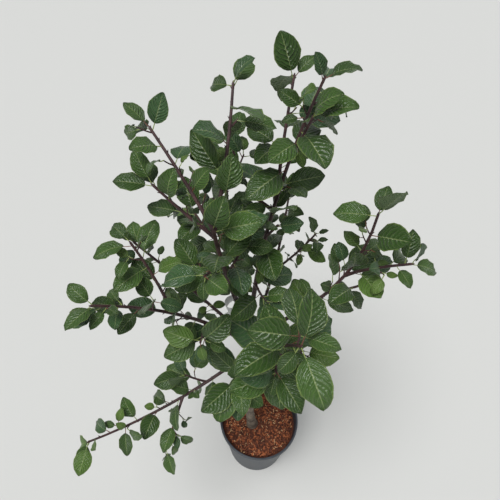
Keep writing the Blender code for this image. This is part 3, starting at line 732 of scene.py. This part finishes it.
# %% [markdown]
# One leaf is a closed shell of under a hundred faces: an upper and a lower sheet that meet at the
# margin, two strips wide on each side of the midrib. The midrib arches and twists, the two halves
# fold up and then curl over, and the margin waves and is a little ragged. Rows of faces stand
# closer near both ends, where the outline is round. The stalk is a thin tube that leaves the
# twig and bends into the midrib. The shapes come from the growth rule, so they are written
# straight into arrays, and all leaves of a mass become one mesh.

# %% Leaf shapes
BLADE_ROWS = 10
COLUMNS = (-1.0, -0.55, 0.0, 0.55, 1.0)
LEAF_THICK = 0.0005
LEAST_HALF_WIDTH = 0.0006
MARGIN_WAVE = 0.045
WAVE_TURN = 17.0
MARGIN_RAGGED = 0.035
RAGGED_TURN = 41.0
CURL = 0.45
STALK_RADIUS = 0.0009
STALK_SAG = 0.0016
STALK_END = 0.05
STALK_SIDES = 4
STALK_RINGS = 4
NECK_SHARE = 0.006
UV_MIDDLE = (0.5, 0.5)


def section(leaf, share, phase):
    """Upper and lower points across the blade at a share of its length."""
    point, ahead, side, face = leaf_frame(leaf, share)
    reach = max(half_width(leaf, share), LEAST_HALF_WIDTH)
    upper = []
    lower = []
    for part in COLUMNS:
        outer = part * part
        ragged = 1.0 + MARGIN_RAGGED * outer * math.sin(phase * 3.0 + RAGGED_TURN * share + 1.9 * part)
        across = part * reach * ragged
        lift = abs(across) * math.tan(leaf.fold) * (1.0 - CURL * outer)
        lift += MARGIN_WAVE * leaf.width * outer * math.sin(phase + WAVE_TURN * share + 2.0 * part)
        place = point + across * side + lift * face
        half = 0.0 if outer == 1.0 else 0.5 * LEAF_THICK
        upper.append(place + half * face)
        lower.append(place - half * face)
    return upper, lower


def blade_mesh(leaf, phase, paint):
    """A blade's points, and its faces, each with a material and UVs."""
    last = BLADE_ROWS - 1
    rows = [0.5 - 0.5 * math.cos(math.pi * row / last) for row in range(BLADE_ROWS)]
    shares = [NECK_SHARE + (1.0 - 2 * NECK_SHARE) * row for row in rows]
    across = len(COLUMNS)
    points = []
    places = []
    for share in shares:
        upper, lower = section(leaf, share, phase)
        start = len(points)
        points.extend(upper + lower[1:-1])
        top = list(range(start, start + across))
        places.append((top, [top[0], *range(start + across, start + 2 * across - 2), top[-1]]))
    faces = []
    for row in range(last):
        (top, under), (top_on, under_on) = places[row], places[row + 1]
        for left in range(across - 1):
            corners = ((left, row), (left + 1, row), (left + 1, row + 1), (left, row + 1))
            grid = [(0.5 + 0.5 * COLUMNS[column], shares[on]) for column, on in corners]
            faces.append(((top[left], top[left + 1], top_on[left + 1], top_on[left]), paint, grid))
            faces.append(((under[left], under_on[left], under_on[left + 1], under[left + 1]),
                          UNDERSIDE, [grid[0], grid[3], grid[2], grid[1]]))
    for (top, under), turned in ((places[0], 1), (places[-1], -1)):
        ring = (top + under[-2:0:-1])[::turned]
        faces.append((ring[::-1], UNDERSIDE, [UV_MIDDLE] * len(ring)))
    return points, faces


def stalk_mesh(leaf, paint):
    """A leaf stalk: a thin tube from inside the twig to inside the foot of the midrib."""
    points = []
    end = leaf_frame(leaf, STALK_END)[0]
    middle = leaf.root + leaf.way * leaf.petiole * 0.75 - leaf.face * STALK_SAG
    for ring in range(STALK_RINGS):
        t = ring / (STALK_RINGS - 1)
        place = (1 - t) ** 2 * leaf.root + 2 * t * (1 - t) * middle + t * t * end
        ahead = unit((1 - t) * (middle - leaf.root) + t * (end - middle))
        radius = STALK_RADIUS * (1.25 - 0.45 * t)
        for corner in range(STALK_SIDES):
            points.append(place + radius * around_axis(ahead, -2 * math.pi * corner / STALK_SIDES))
    faces = [range(STALK_SIDES)[::-1]]
    for ring in range(STALK_RINGS - 1):
        for corner in range(STALK_SIDES):
            a = ring * STALK_SIDES + corner
            b = ring * STALK_SIDES + (corner + 1) % STALK_SIDES
            faces.append((a, b, b + STALK_SIDES, a + STALK_SIDES))
    last = (STALK_RINGS - 1) * STALK_SIDES
    faces.append(range(last, last + STALK_SIDES))
    return points, [(face, paint, [UV_MIDDLE] * len(face)) for face in faces]


# %% Join the leaves of each mass
YOUNG_LENGTH = 0.034
YOUNG_ODDS = 0.4
RED_STALK_ODDS = 0.35


def leaves_mesh(name, leaves, seed):
    """All leaves of one mass as one mesh, each dealt an upper material and a stalk colour."""
    rng = random.Random(seed)
    points = []
    faces = []
    for leaf in leaves:
        young = leaf.length < YOUNG_LENGTH and rng.random() < YOUNG_ODDS
        paint = YOUNG if young else rng.choices(range(len(UPPERS)), UPPER_SHARES)[0]
        stalk = RED_STALK if rng.random() < RED_STALK_ODDS else GREEN_STALK
        for shape in (blade_mesh(leaf, rng.uniform(0, 2 * math.pi), paint), stalk_mesh(leaf, stalk)):
            start = len(points)
            points.extend(shape[0])
            for face, slot, grid in shape[1]:
                faces.append(([corner + start for corner in face], slot, grid))
    mesh = bpy.data.meshes.new(name)
    mesh.from_pydata([tuple(point) for point in points], [], [face for face, slot, grid in faces])
    for material in LEAF_MATERIALS:
        mesh.materials.append(material)
    mesh.polygons.foreach_set("material_index", [slot for face, slot, grid in faces])
    flat = [part for face, slot, grid in faces for corner in grid for part in corner]
    mesh.uv_layers.new(name="leaf").data.foreach_set("uv", flat)
    smooth(mesh, 60)
    return mesh


for number, (mass, (spurs, leaves)) in enumerate(GROWTH.items()):
    piece = add_piece("leaves_" + mass, leaves_mesh("leaves_" + mass, leaves + FINE[mass][1], number))
    dress(piece, "foliage", "foliage_" + mass)

# %% [markdown]
# Wood is skin over a path: rings along the limb, as thick as the growth rule says, with the
# bark's relief on them. Geometry Nodes suit it well. One tree turns any set of paths into
# skinned, closed limbs: it rounds each path, resamples it, sweeps a circle along it by radius,
# and pushes the surface in and out by noise. Its sizes are named inputs, so trunk, boughs and
# twigs share it.

# %% Bark skin as a node tree
def new_geometry_tree(name, *sizes):
    """A geometry tree with an input for each name and kind, and the sockets they arrive at."""
    tree = bpy.data.node_groups.new(name, "GeometryNodeTree")
    for label, kind in (("Geometry", "Geometry"), *sizes):
        tree.interface.new_socket(label, in_out="INPUT", socket_type="NodeSocket" + kind)
    tree.interface.new_socket("Geometry", in_out="OUTPUT", socket_type="NodeSocketGeometry")
    return tree, add(tree, "NodeGroupInput").outputs


def bark_tree():
    """Curves with radii come in, and closed limbs with bark relief come out."""
    tree, given = new_geometry_tree("bark_skin", ("Ring spacing", "Float"), ("Sides", "Int"),
                                    ("Relief", "Float"), ("Grain", "Float"), ("Material", "Material"))
    rounded = add(tree, "GeometryNodeCurveSplineType", {"Curve": given["Geometry"]},
                  spline_type="CATMULL_ROM")
    rings = add(tree, "GeometryNodeResampleCurve",
                {"Curve": rounded, "Length": given["Ring spacing"]}, mode="LENGTH")
    circle = add(tree, "GeometryNodeCurvePrimitiveCircle", {"Resolution": given["Sides"],
                                                            "Radius": 1.0})
    skin = add(tree, "GeometryNodeCurveToMesh",
               {"Curve": rings, "Profile Curve": circle, "Fill Caps": True,
                "Scale": add(tree, "GeometryNodeInputRadius")})
    place = add(tree, "GeometryNodeInputPosition")
    stretch = add(tree, "ShaderNodeVectorMath", {0: place, 1: (1.0, 1.0, 0.35)}, operation="MULTIPLY")
    grain = add(tree, "ShaderNodeTexNoise", {"Vector": stretch, "Scale": given["Grain"],
                                             "Detail": 3.0})
    height = add(tree, "ShaderNodeMath", {0: grain, 1: 0.5}, operation="SUBTRACT")
    depth = add(tree, "ShaderNodeMath", {0: height, 1: given["Relief"]}, operation="MULTIPLY")
    push = add(tree, "ShaderNodeVectorMath",
               {0: add(tree, "GeometryNodeInputNormal"), "Scale": depth}, operation="SCALE")
    pushed = add(tree, "GeometryNodeSetPosition", {"Geometry": skin, "Offset": push})
    real = add(tree, "GeometryNodeRealizeInstances", {0: pushed})
    painted = add(tree, "GeometryNodeSetMaterial", {"Geometry": real, "Material": given["Material"]})
    add(tree, "NodeGroupOutput", {0: painted})
    return tree


BARK_TREE = bark_tree()


def grown(name, thing, tree, values):
    """Runs a tree on an object, its named inputs set by their identifiers, into a plain piece."""
    modifier = thing.modifiers.new(tree.name, "NODES")
    modifier.node_group = tree
    for item in tree.interface.items_tree:
        if item.in_out == "INPUT" and item.name in values:
            modifier[item.identifier] = values[item.name]
    return plain_piece(name, thing)


def skinned(name, paths, spacing, sides, relief, grain, material):
    """A plain mesh object: every path, a list of points and radii, as a closed limb with bark."""
    curve = bpy.data.curves.new(name, "CURVE")
    curve.dimensions = "3D"
    for points, radii in paths:
        spline = curve.splines.new("POLY")
        spline.points.add(len(points) - 1)
        for knot, point, radius in zip(spline.points, points, radii):
            knot.co = (*point, 1.0)
            knot.radius = radius
    values = {"Ring spacing": spacing, "Sides": sides, "Relief": relief, "Grain": 1 / grain,
              "Material": material}
    piece = grown(name, add_piece(name + "_path", curve), BARK_TREE, values)
    weld(piece.data, 0.000001)
    smooth(piece.data, 50)
    return piece


def run_of(limb, axis, low, high, step):
    """Axis points and radii of a limb from one length along it to another."""
    count = max(2, round((high - low) / step) + 1)
    lengths = np.linspace(low, high, count)
    points = [spot_on(axis, length / limb.length)[0] for length in lengths]
    return points, [limb_radius(limb, length / limb.length) for length in lengths]


# %% [markdown]
# The stem of a young plum is grey-brown and fairly smooth, with rough lines across it where it
# breathes. The boughs are dark purple-brown and satin, dotted with pale breathing pores, and the
# youngest twigs are redder. The patterns read object coordinates in millimetres.

# %% Bark materials
def bark_material(name, dark, light, pore, roughness, pore_size, pore_share):
    """Living bark, grown: two tones in patches, pale pores across the stem, fine relief."""
    material, tree, shader, place = new_material(name)
    patches = add(tree, "ShaderNodeTexNoise", {"Vector": place, "Scale": 1 / (18 * MM), "Detail": 5.0,
                                               "Roughness": 0.6})
    tones = add(tree, "ShaderNodeValToRGB", {"Fac": patches}, ((0.34, dark), (0.68, light)))
    bands = add(tree, "ShaderNodeVectorMath", {0: place, 1: (1.0, 1.0, 2.6)}, operation="MULTIPLY")
    pores = add(tree, "ShaderNodeTexVoronoi", {"Vector": bands, "Scale": 1 / (pore_size * MM)})
    spots = add(tree, "ShaderNodeMath", {0: pores, 1: pore_share}, operation="LESS_THAN")
    faded = add(tree, "ShaderNodeMath", {0: spots, 1: 0.65}, operation="MULTIPLY")
    dotted = add(tree, "ShaderNodeMix", {"Factor": faded, "A": tones, "B": linear(pore)},
                 data_type="RGBA")
    grain = add(tree, "ShaderNodeTexNoise", {"Vector": bands, "Scale": 1 / (2.2 * MM), "Detail": 4.0})
    height = add(tree, "ShaderNodeMath", {0: spots, 1: 0.5, 2: grain}, operation="MULTIPLY_ADD")
    bump = add(tree, "ShaderNodeBump", {"Height": height, "Strength": 0.6, "Distance": 0.6 * MM})
    feed(tree, shader, {"Base Color": dotted, "Normal": bump, "Roughness": roughness})
    return material


TRUNK_BARK = bark_material("bark_trunk", "#5a5047", "#948979", "#b3a892", 0.85, 5.0, 0.22)
BOUGH_BARK = bark_material("bark_bough", "#2a1c20", "#4a3335", "#7c695c", 0.55, 4.0, 0.15)
TWIG_BARK = bark_material("bark_twig", "#332024", "#573a39", "#857161", 0.50, 3.5, 0.14)

# %% Trunk and boughs
TRUNK_STEP = 0.012
BOUGH_STEP = 0.014
BOUGH_OVERRUN = 0.003

trunk = LIMBS[0]
trunk_path = run_of(trunk, AXES["trunk"], 0.0, trunk.length, TRUNK_STEP)
piece = skinned("trunk_skin", [trunk_path], 4 * MM, 28, 1.6 * MM, 9 * MM, TRUNK_BARK)
dress(piece, "trunk_bark", "trunk")

boughs = [limb for limb in LIMBS if limb.parent == "trunk"]
bough_paths = [run_of(limb, AXES[limb.name], 0.0, limb.bare + BOUGH_OVERRUN, BOUGH_STEP)
               for limb in boughs]
piece = skinned("bough_skin", bough_paths, 4 * MM, 16, 0.7 * MM, 6 * MM, BOUGH_BARK)
dress(piece, "bough_bark", *["bough_" + limb.name for limb in boughs])

# %% [markdown]
# In the crown the same tree skins the stems, side shoots, spurs and twiglets. At each eye sits a
# bud: a small pointed cone that hugs the shoot. Buds repeat by the hundred, so each is a closed
# cone of eight faces, placed by a loop.

# %% Twigs of each mass
POINT_REACH = 0.003
POINT_SHARE = 0.35
TWIG_SAG = 0.0012
BUD_LENGTH = 0.0046
BUD_RADIUS = 0.0014
BUD_SINK = 0.0004
BUD_STEP = 0.024
BUD_START = 0.01


def shoot_paths(mass):
    """Paths of a mass: its stem, its side shoots, its spurs and its fine twigs."""
    paths = []
    for limb in LIMBS[1:]:
        if mass_of(limb) == mass:
            low = limb.bare if limb.parent == "trunk" else 0.0
            points, radii = run_of(limb, AXES[limb.name], low, limb.length, BOUGH_STEP)
            points.append(points[-1] + unit(points[-1] - points[-2]) * POINT_REACH)
            paths.append((points, radii + [radii[-1] * POINT_SHARE]))
    for twig in GROWTH[mass][0] + FINE[mass][0]:
        foot, tip = twig.points
        middle = 0.5 * (foot + tip) + np.array((0.0, 0.0, -TWIG_SAG))
        paths.append(([foot, middle, tip], [twig.radii[0], np.mean(twig.radii), twig.radii[1]]))
    return paths


def bud_cones(mass):
    """Buds along the shoots of a mass, as one bmesh."""
    rng = random.Random(len(mass))
    work = bmesh.new()
    for limb in LIMBS[1:]:
        along = limb.bare + BUD_START
        while mass_of(limb) == mass and along < limb.length:
            share = along / limb.length
            root, ahead = spot_on(AXES[limb.name], share)
            out = around_axis(ahead, rng.uniform(0, 2 * math.pi))
            aim = Vector(unit(0.75 * ahead + 0.65 * out))
            seat = Vector(root + out * (limb_radius(limb, share) - BUD_SINK)) + 0.5 * BUD_LENGTH * aim
            turn = aim.to_track_quat("Z", "Y").to_matrix().to_4x4()
            bmesh.ops.create_cone(work, cap_ends=True, segments=6, radius1=BUD_RADIUS,
                                  radius2=BUD_RADIUS * 0.25, depth=BUD_LENGTH,
                                  matrix=Matrix.Translation(seat) @ turn)
            along += BUD_STEP
    return work


for mass in GROWTH:
    piece = skinned("twigs_" + mass, shoot_paths(mass), 5 * MM, 9, 0.5 * MM, 4 * MM, TWIG_BARK)
    buds = bud_cones(mass)
    buds.from_mesh(piece.data)
    buds.to_mesh(piece.data)
    buds.free()
    smooth(piece.data, 50)
    dress(piece, "bough_bark")

# %% [markdown]
# The pot is injection-moulded polypropylene from recycled stock: near black with a blue-grey
# cast, satin, scuffed paler where it has been handled. It is a turned shape, so its profile is
# drawn once, with the rolled lip as an arc, and the Screw modifier turns it.

# %% Pot sizes from the frame
POT_RIM_RADIUS, _, POT_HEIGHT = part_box("pot")[1]
POT_BASE_RADIUS = 0.106
POT_WALL = 0.0022
POT_LIP_HEIGHT = 0.017
POT_LIP_REACH = 0.0045
TURN_STEPS = 96
print("pot:", round(POT_RIM_RADIUS * 2, 3), "m across,", round(POT_HEIGHT, 3), "m high")


def pot_radius(height):
    share = height / POT_HEIGHT
    return POT_BASE_RADIUS + (POT_RIM_RADIUS - POT_LIP_REACH - POT_BASE_RADIUS) * share


def arc(centre, radius, first, last, count):
    """Points of an arc in the profile's plane, angles in degrees from outward."""
    angles = [math.radians(first + (last - first) * i / (count - 1)) for i in range(count)]
    return [(centre[0] + radius * math.cos(a), centre[1] + radius * math.sin(a)) for a in angles]


def turned(name, profile):
    """A profile of radius and height turned about Z into a plain closed mesh object."""
    mesh = bpy.data.meshes.new(name)
    mesh.from_pydata([(radius, 0.0, height) for radius, height in profile],
                     [(i, i + 1) for i in range(len(profile) - 1)], [])
    thing = add_piece(name + "_profile", mesh)
    screw = thing.modifiers.new("Turn", "SCREW")
    screw.steps = TURN_STEPS
    screw.render_steps = TURN_STEPS
    screw.use_merge_vertices = True
    screw.merge_threshold = 0.00005
    piece = plain_piece(name, thing)
    weld(piece.data, 0.00001)
    return piece


# %% Moulded plastic
def moulded_plastic(name, colour, scuffed):
    """Polypropylene, injection-moulded: satin with faint flow marks and paler scuffs."""
    material, tree, shader, place = new_material(name)
    flow = add(tree, "ShaderNodeTexNoise", {"Vector": place, "Scale": 1 / (45 * MM), "Detail": 6.0,
                                            "Roughness": 0.65})
    tones = add(tree, "ShaderNodeValToRGB", {"Fac": flow}, ((0.35, colour), (0.75, scuffed)))
    dirt = add(tree, "ShaderNodeTexNoise", {"Vector": place, "Scale": 1 / (6 * MM), "Detail": 5.0,
                                            "Roughness": 0.7})
    dust = add(tree, "ShaderNodeValToRGB", {"Fac": dirt}, ((0.56, "#000000"), (0.78, "#555555")))
    dusty = add(tree, "ShaderNodeMix", {"Factor": dust, "A": tones, "B": linear("#7d7468")},
                data_type="RGBA")
    rough = add(tree, "ShaderNodeMapRange", {"Value": flow, "To Min": 0.32, "To Max": 0.58})
    bump = add(tree, "ShaderNodeBump", {"Height": dirt, "Strength": 0.15, "Distance": 0.3 * MM})
    feed(tree, shader, {"Base Color": dusty, "Roughness": rough, "Normal": bump, "IOR": 1.49})
    return material


POT_PLASTIC = moulded_plastic("moulded_polypropylene", "#31353b", "#4a5058")

# %% Pot
WALL_LEVELS = (0.06, 0.12, 0.18)
LIP_EDGE = ((0.0006, 0.0020), (0.0014, 0.0005), (0.0024, 0.0))
LIP_CREASE = 0.0004
FOOT_RADIUS = 0.004
FOOT_RING = 0.012
FOOT_LEDGE = 0.0010

lip_foot = POT_HEIGHT - POT_LIP_HEIGHT
inner_top = pot_radius(POT_HEIGHT) - POT_WALL
lip_round = min(0.5 * (POT_RIM_RADIUS - inner_top), POT_WALL)
profile = [(0.0, POT_WALL), (0.6 * POT_BASE_RADIUS, POT_WALL),
           (pot_radius(POT_WALL) - POT_WALL - 0.002, POT_WALL),
           (pot_radius(FOOT_RADIUS) - POT_WALL, FOOT_RADIUS)]
profile += [(pot_radius(z) - POT_WALL, z) for z in WALL_LEVELS]
profile += arc((inner_top + lip_round, POT_HEIGHT - lip_round), lip_round, 180, 90, 5)
profile += arc((POT_RIM_RADIUS - lip_round, POT_HEIGHT - lip_round), lip_round, 90, 0, 5)
profile += [(POT_RIM_RADIUS - inward, lip_foot + up) for inward, up in LIP_EDGE]
profile += [(pot_radius(lip_foot) + LIP_CREASE, lip_foot - LIP_CREASE)]
profile += [(pot_radius(z), z) for z in (lip_foot - 0.002, *WALL_LEVELS[::-1], 0.008)]
profile += arc((pot_radius(0.006) - FOOT_RADIUS, FOOT_RADIUS), FOOT_RADIUS, 0, -90, 4)
profile += [(pot_radius(0.0) - FOOT_RING, 0.0), (pot_radius(0.0) - FOOT_RING - 0.002, FOOT_LEDGE),
            (0.5 * POT_BASE_RADIUS, FOOT_LEDGE), (0.5 * POT_BASE_RADIUS - 0.002, 0.0), (0.0, 0.0)]
pot = turned("pot_shell", profile)

# %% Holes in the pot's floor
HOLE_COUNT = 8
HOLE_RADIUS = 0.008
HOLE_RING_SHARE = 0.72

holes = bpy.data.meshes.new("pot_holes")
work = bmesh.new()
for number in range(HOLE_COUNT):
    angle = 2 * math.pi * (number + 0.5) / HOLE_COUNT
    spot = Vector((math.cos(angle), math.sin(angle), 0.0)) * (POT_BASE_RADIUS * HOLE_RING_SHARE)
    bmesh.ops.create_cone(work, cap_ends=True, segments=24, radius1=HOLE_RADIUS, radius2=HOLE_RADIUS,
                          depth=0.02, matrix=Matrix.Translation(spot))
work.to_mesh(holes)
work.free()
cutter = add_piece("pot_holes_cutter", holes)
cut = pot.modifiers.new("Holes", "BOOLEAN")
cut.operation = "DIFFERENCE"
cut.object = cutter
cut.solver = "EXACT"
pot = plain_piece("pot_body", pot)
bpy.data.objects.remove(cutter, do_unlink=True)
pot.data.materials.clear()
pot.data.materials.append(POT_PLASTIC)
smooth(pot.data, 35)
dress(pot, "pot_plastic", "pot")

# %% [markdown]
# The pot is filled with bark compost. Its body is a turned plug whose top is made uneven by
# noise. On it lie over a thousand chips: flat slabs of bark, splinters and crumbs. A node tree
# scatters them over the top with random sizes and turns, and makes them real at its end,
# because the plant has to be plain meshes.

# %% Compost materials
def chip_material(name, dark, light):
    """Composted pine bark, shredded: fibrous, matt, in broken tones of one colour."""
    material, tree, shader, place = new_material(name)
    tone = add(tree, "ShaderNodeTexNoise", {"Vector": place, "Scale": 1 / (7 * MM), "Detail": 4.0})
    fibre = add(tree, "ShaderNodeTexNoise", {"Vector": place, "Scale": 1 / (1.4 * MM), "Detail": 3.0})
    colours = add(tree, "ShaderNodeValToRGB", {"Fac": tone}, ((0.35, dark), (0.65, light)))
    bump = add(tree, "ShaderNodeBump", {"Height": fibre, "Strength": 0.8, "Distance": 0.8 * MM})
    feed(tree, shader, {"Base Color": colours, "Normal": bump, "Roughness": 0.92})
    return material


PEAT = chip_material("compost_peat", "#3a1d12", "#6a3822")
CHIP_REDDISH = chip_material("bark_chip_reddish", "#7c4128", "#b0683f")
CHIP_DARK = chip_material("bark_chip_dark", "#45241a", "#713f2a")
CHIP_TAN = chip_material("bark_chip_tan", "#b0845a", "#dcb68a")

# %% Compost body
BED_EDGE_LEVEL = COMPOST_LEVEL - 0.006
BED_RINGS = 26
BED_FLAT_RADIUS = 0.090
BED_ROUGHNESS = 0.0028
LUMP_SIZE = 0.016
BED_FLOOR = POT_WALL + GAP
BED_EDGE = pot_radius(BED_EDGE_LEVEL) - POT_WALL - GAP


def bed_level(radius):
    """The compost's height: flat in the middle, and lower towards the wall."""
    beyond = max(0.0, radius - BED_FLAT_RADIUS)
    return COMPOST_LEVEL + (BED_EDGE_LEVEL - COMPOST_LEVEL) * beyond / (BED_EDGE - BED_FLAT_RADIUS)


radii = [BED_EDGE * ring / BED_RINGS for ring in range(BED_RINGS + 1)]
profile = [(radius, bed_level(radius)) for radius in radii]
profile += [(pot_radius(BED_FLOOR) - POT_WALL - GAP, BED_FLOOR), (0.0, BED_FLOOR)]
bed = turned("compost_bed", profile)
for vertex in bed.data.vertices:
    radius = math.hypot(vertex.co.x, vertex.co.y)
    if vertex.co.z > BED_EDGE_LEVEL - MM and radius < BED_EDGE - MM:
        vertex.co.z += BED_ROUGHNESS * (noise.fractal(vertex.co / LUMP_SIZE, 0.8, 2.0, 3) - 0.6)
bed.data.materials.append(PEAT)
smooth(bed.data, 60)
dress(bed, "compost", "compost")

# %% Bark chips as a node tree
CHIP_DENSITY = 30000.0
CHIP_SEED = 7
CHIP_LEVEL = COMPOST_LEVEL + 0.0002
CHIP_FIELD_RADIUS = BED_EDGE - 0.008
CHIP_SIZES = (
    ((8 * MM, 4 * MM, 2.0 * MM), CHIP_REDDISH),
    ((13 * MM, 3 * MM, 1.8 * MM), CHIP_DARK),
    ((6 * MM, 5 * MM, 3.0 * MM), CHIP_DARK),
    ((7 * MM, 3 * MM, 2.0 * MM), CHIP_REDDISH),
    ((10 * MM, 3 * MM, 1.6 * MM), CHIP_REDDISH),
    ((9 * MM, 2 * MM, 1.2 * MM), CHIP_TAN),
)


def chip_kind(tree, size, seed, material):
    """One chip: a thin slab of about two dozen faces, knocked out of true by noise."""
    slab = add(tree, "GeometryNodeMeshCube", {"Size": size, "Vertices X": 4, "Vertices Y": 3,
                                              "Vertices Z": 2})
    place = add(tree, "GeometryNodeInputPosition")
    rough = add(tree, "ShaderNodeTexNoise", {"Vector": place, "W": seed, "Scale": 1 / (5 * MM)},
                noise_dimensions="4D")
    centred = add(tree, "ShaderNodeVectorMath", {0: rough.outputs["Color"], 1: (0.5, 0.5, 0.5)},
                  operation="SUBTRACT")
    push = add(tree, "ShaderNodeVectorMath", {0: centred, 1: (7 * MM, 5 * MM, 4 * MM)},
               operation="MULTIPLY")
    knocked = add(tree, "GeometryNodeSetPosition", {"Geometry": slab, "Offset": push})
    return add(tree, "GeometryNodeSetMaterial", {"Geometry": knocked, "Material": material})


def chips_tree():
    """A surface comes in, and chips of all kinds strewn over it come out."""
    tree, given = new_geometry_tree("bark_chips", ("Chips per square metre", "Float"), ("Seed", "Int"))
    spread = add(tree, "GeometryNodeDistributePointsOnFaces",
                 {"Mesh": given["Geometry"], "Density": given["Chips per square metre"],
                  "Seed": given["Seed"]})
    kinds = add(tree, "GeometryNodeGeometryToInstance")
    for seed, (size, material) in enumerate(CHIP_SIZES, 1):
        feed(tree, kinds, {0: chip_kind(tree, size, seed, material)})
    turn = add(tree, "FunctionNodeRandomValue", {0: (-0.5, -0.5, 0.0), 1: (0.5, 0.5, 6.28), "Seed": 3},
               data_type="FLOAT_VECTOR")
    scale = add(tree, "FunctionNodeRandomValue", {0: (0.4, 0.5, 0.6), 1: (1.5, 1.4, 1.2), "Seed": 5},
                data_type="FLOAT_VECTOR")
    placed = add(tree, "GeometryNodeInstanceOnPoints",
                 {"Points": spread, "Instance": kinds, "Pick Instance": True, "Rotation": turn,
                  "Scale": scale})
    real = add(tree, "GeometryNodeRealizeInstances", {0: placed})
    add(tree, "NodeGroupOutput", {0: real})
    return tree


# %% Scatter the chips
field = formed("chip_field", bmesh.ops.create_circle, cap_ends=True, segments=64,
               radius=CHIP_FIELD_RADIUS, matrix=Matrix.Translation((0.0, 0.0, CHIP_LEVEL)))
chips = grown("bark_chips", add_piece("chips_field", field), chips_tree(),
              {"Chips per square metre": CHIP_DENSITY, "Seed": CHIP_SEED})
smooth(chips.data, 30)
dress(chips, "compost")

# %% [markdown]
# The plant label is a strip of white film, looped round the left leader and pulled through
# itself, so that its tail hangs free. It is bare here. The strip is a ribbon of faces along a
# path with a gentle curl, and the Solidify modifier gives it its thickness.

# %% Label
LABEL_PLACE = 0.135
LABEL_WIDTH = 0.024
LABEL_END_SHARES = (0.80, 0.94)
LABEL_THICK = 0.0006
LABEL_LOOP_RADIUS = 0.017
LABEL_TAIL = 0.060
LABEL_OPENING = 8
LABEL_TURNS = 41
LABEL_TAIL_PARTS = 12
LABEL_TAIL_WAY = (-0.80, -0.60, 0.0)
LABEL_CURL = 0.005


def label_film():
    """Polyester film, printed side bare: white, satin, a little greyed and creased."""
    material, tree, shader, place = new_material("white_label_film")
    cloud = add(tree, "ShaderNodeTexNoise", {"Vector": place, "Scale": 1 / (9 * MM), "Detail": 4.0})
    tones = add(tree, "ShaderNodeValToRGB", {"Fac": cloud}, ((0.35, "#e9ebec"), (0.6, "#fbfbfb")))
    bump = add(tree, "ShaderNodeBump", {"Height": cloud, "Strength": 0.2, "Distance": 0.5 * MM})
    feed(tree, shader, {"Base Color": tones, "Normal": bump, "Roughness": 0.38, "IOR": 1.57})
    return material


leader = next(limb for limb in LIMBS if limb.name == "left_leader")
centre, along = spot_on(AXES["left_leader"], LABEL_PLACE / leader.length)
tail_way = np.array(LABEL_TAIL_WAY)
tail_way = unit(tail_way - (tail_way @ along) * along)
across = np.cross(along, tail_way)
wood = limb_radius(leader, LABEL_PLACE / leader.length - 0.03)
centre = centre + tail_way * (LABEL_LOOP_RADIUS - wood - GAP - 0.5 * LABEL_THICK)
path = []
for number in range(LABEL_TURNS):
    angle = math.radians(LABEL_OPENING + (360 - LABEL_OPENING) * number / (LABEL_TURNS - 1))
    path.append(centre + LABEL_LOOP_RADIUS * (math.cos(angle) * across - math.sin(angle) * tail_way))
last = path[-1]
for number in range(1, LABEL_TAIL_PARTS + 1):
    share = number / LABEL_TAIL_PARTS
    curl = LABEL_CURL * share * share
    path.append(last + tail_way * LABEL_TAIL * share - across * curl)
mesh = bpy.data.meshes.new("plant_label")
corners = []
for number, point in enumerate(path):
    left = len(path) - 1 - number
    half = 0.5 * LABEL_WIDTH * (LABEL_END_SHARES[left] if left < len(LABEL_END_SHARES) else 1.0)
    corners += [tuple(point - half * along), tuple(point + half * along)]
mesh.from_pydata(corners, [], [(i * 2, i * 2 + 2, i * 2 + 3, i * 2 + 1) for i in range(len(path) - 1)])
label = add_piece("label_strip_path", mesh)
wall = label.modifiers.new("Wall", "SOLIDIFY")
wall.thickness = LABEL_THICK
wall.offset = 0.0
label = plain_piece("label_strip", label)
label.data.materials.append(label_film())
smooth(label.data, 40)
dress(label, "label", "plant_label")

# %% [markdown]
# The stage is plain: a pale floor that runs past the view, and soft light as under a bright
# overcast sky. A wide sun, which casts blurred shadows, stands high on the viewer's left, and the
# world is a pale grey that fills the shadows. Colours are shown as they are, without the film
# curve that Blender starts with, because that curve would grey the greens.

# %% Floor and light
FLOOR_SIZE = 60.0
SKY_STRENGTH = 0.29

bpy.context.scene.view_settings.view_transform = "Standard"
floor_mesh = formed("floor", bmesh.ops.create_grid, x_segments=1, y_segments=1, size=FLOOR_SIZE / 2)
floor = add_piece("floor", floor_mesh)
material, tree, shader, place = new_material("pale_floor")
feed(tree, shader, {"Base Color": linear("#d4d4d1"), "Roughness": 0.9})
floor_mesh.materials.append(material)

world = bpy.data.worlds.new("pale_sky")
bpy.context.scene.world = world
world.use_nodes = True
feed(world.node_tree, world.node_tree.nodes["Background"],
     {"Color": linear("#e9eef2"), "Strength": SKY_STRENGTH})


def add_sun(name, place, strength, width):
    """A sun that shines from a place towards the crown, as wide in degrees as given."""
    data = bpy.data.lights.new(name, "SUN")
    data.energy = strength
    data.angle = math.radians(width)
    sun = bpy.data.objects.new(name, data)
    aim = (Vector((0.0, 0.0, 0.8)) - Vector(place)).to_track_quat("-Z", "Y")
    sun.matrix_world = Matrix.Translation(place) @ aim.to_matrix().to_4x4()
    bpy.context.scene.collection.objects.link(sun)


add_sun("sky_light", (-0.7, -0.9, 3.4), 2.65, 36)
add_sun("back_light", (1.6, 2.2, 2.6), 0.35, 60)
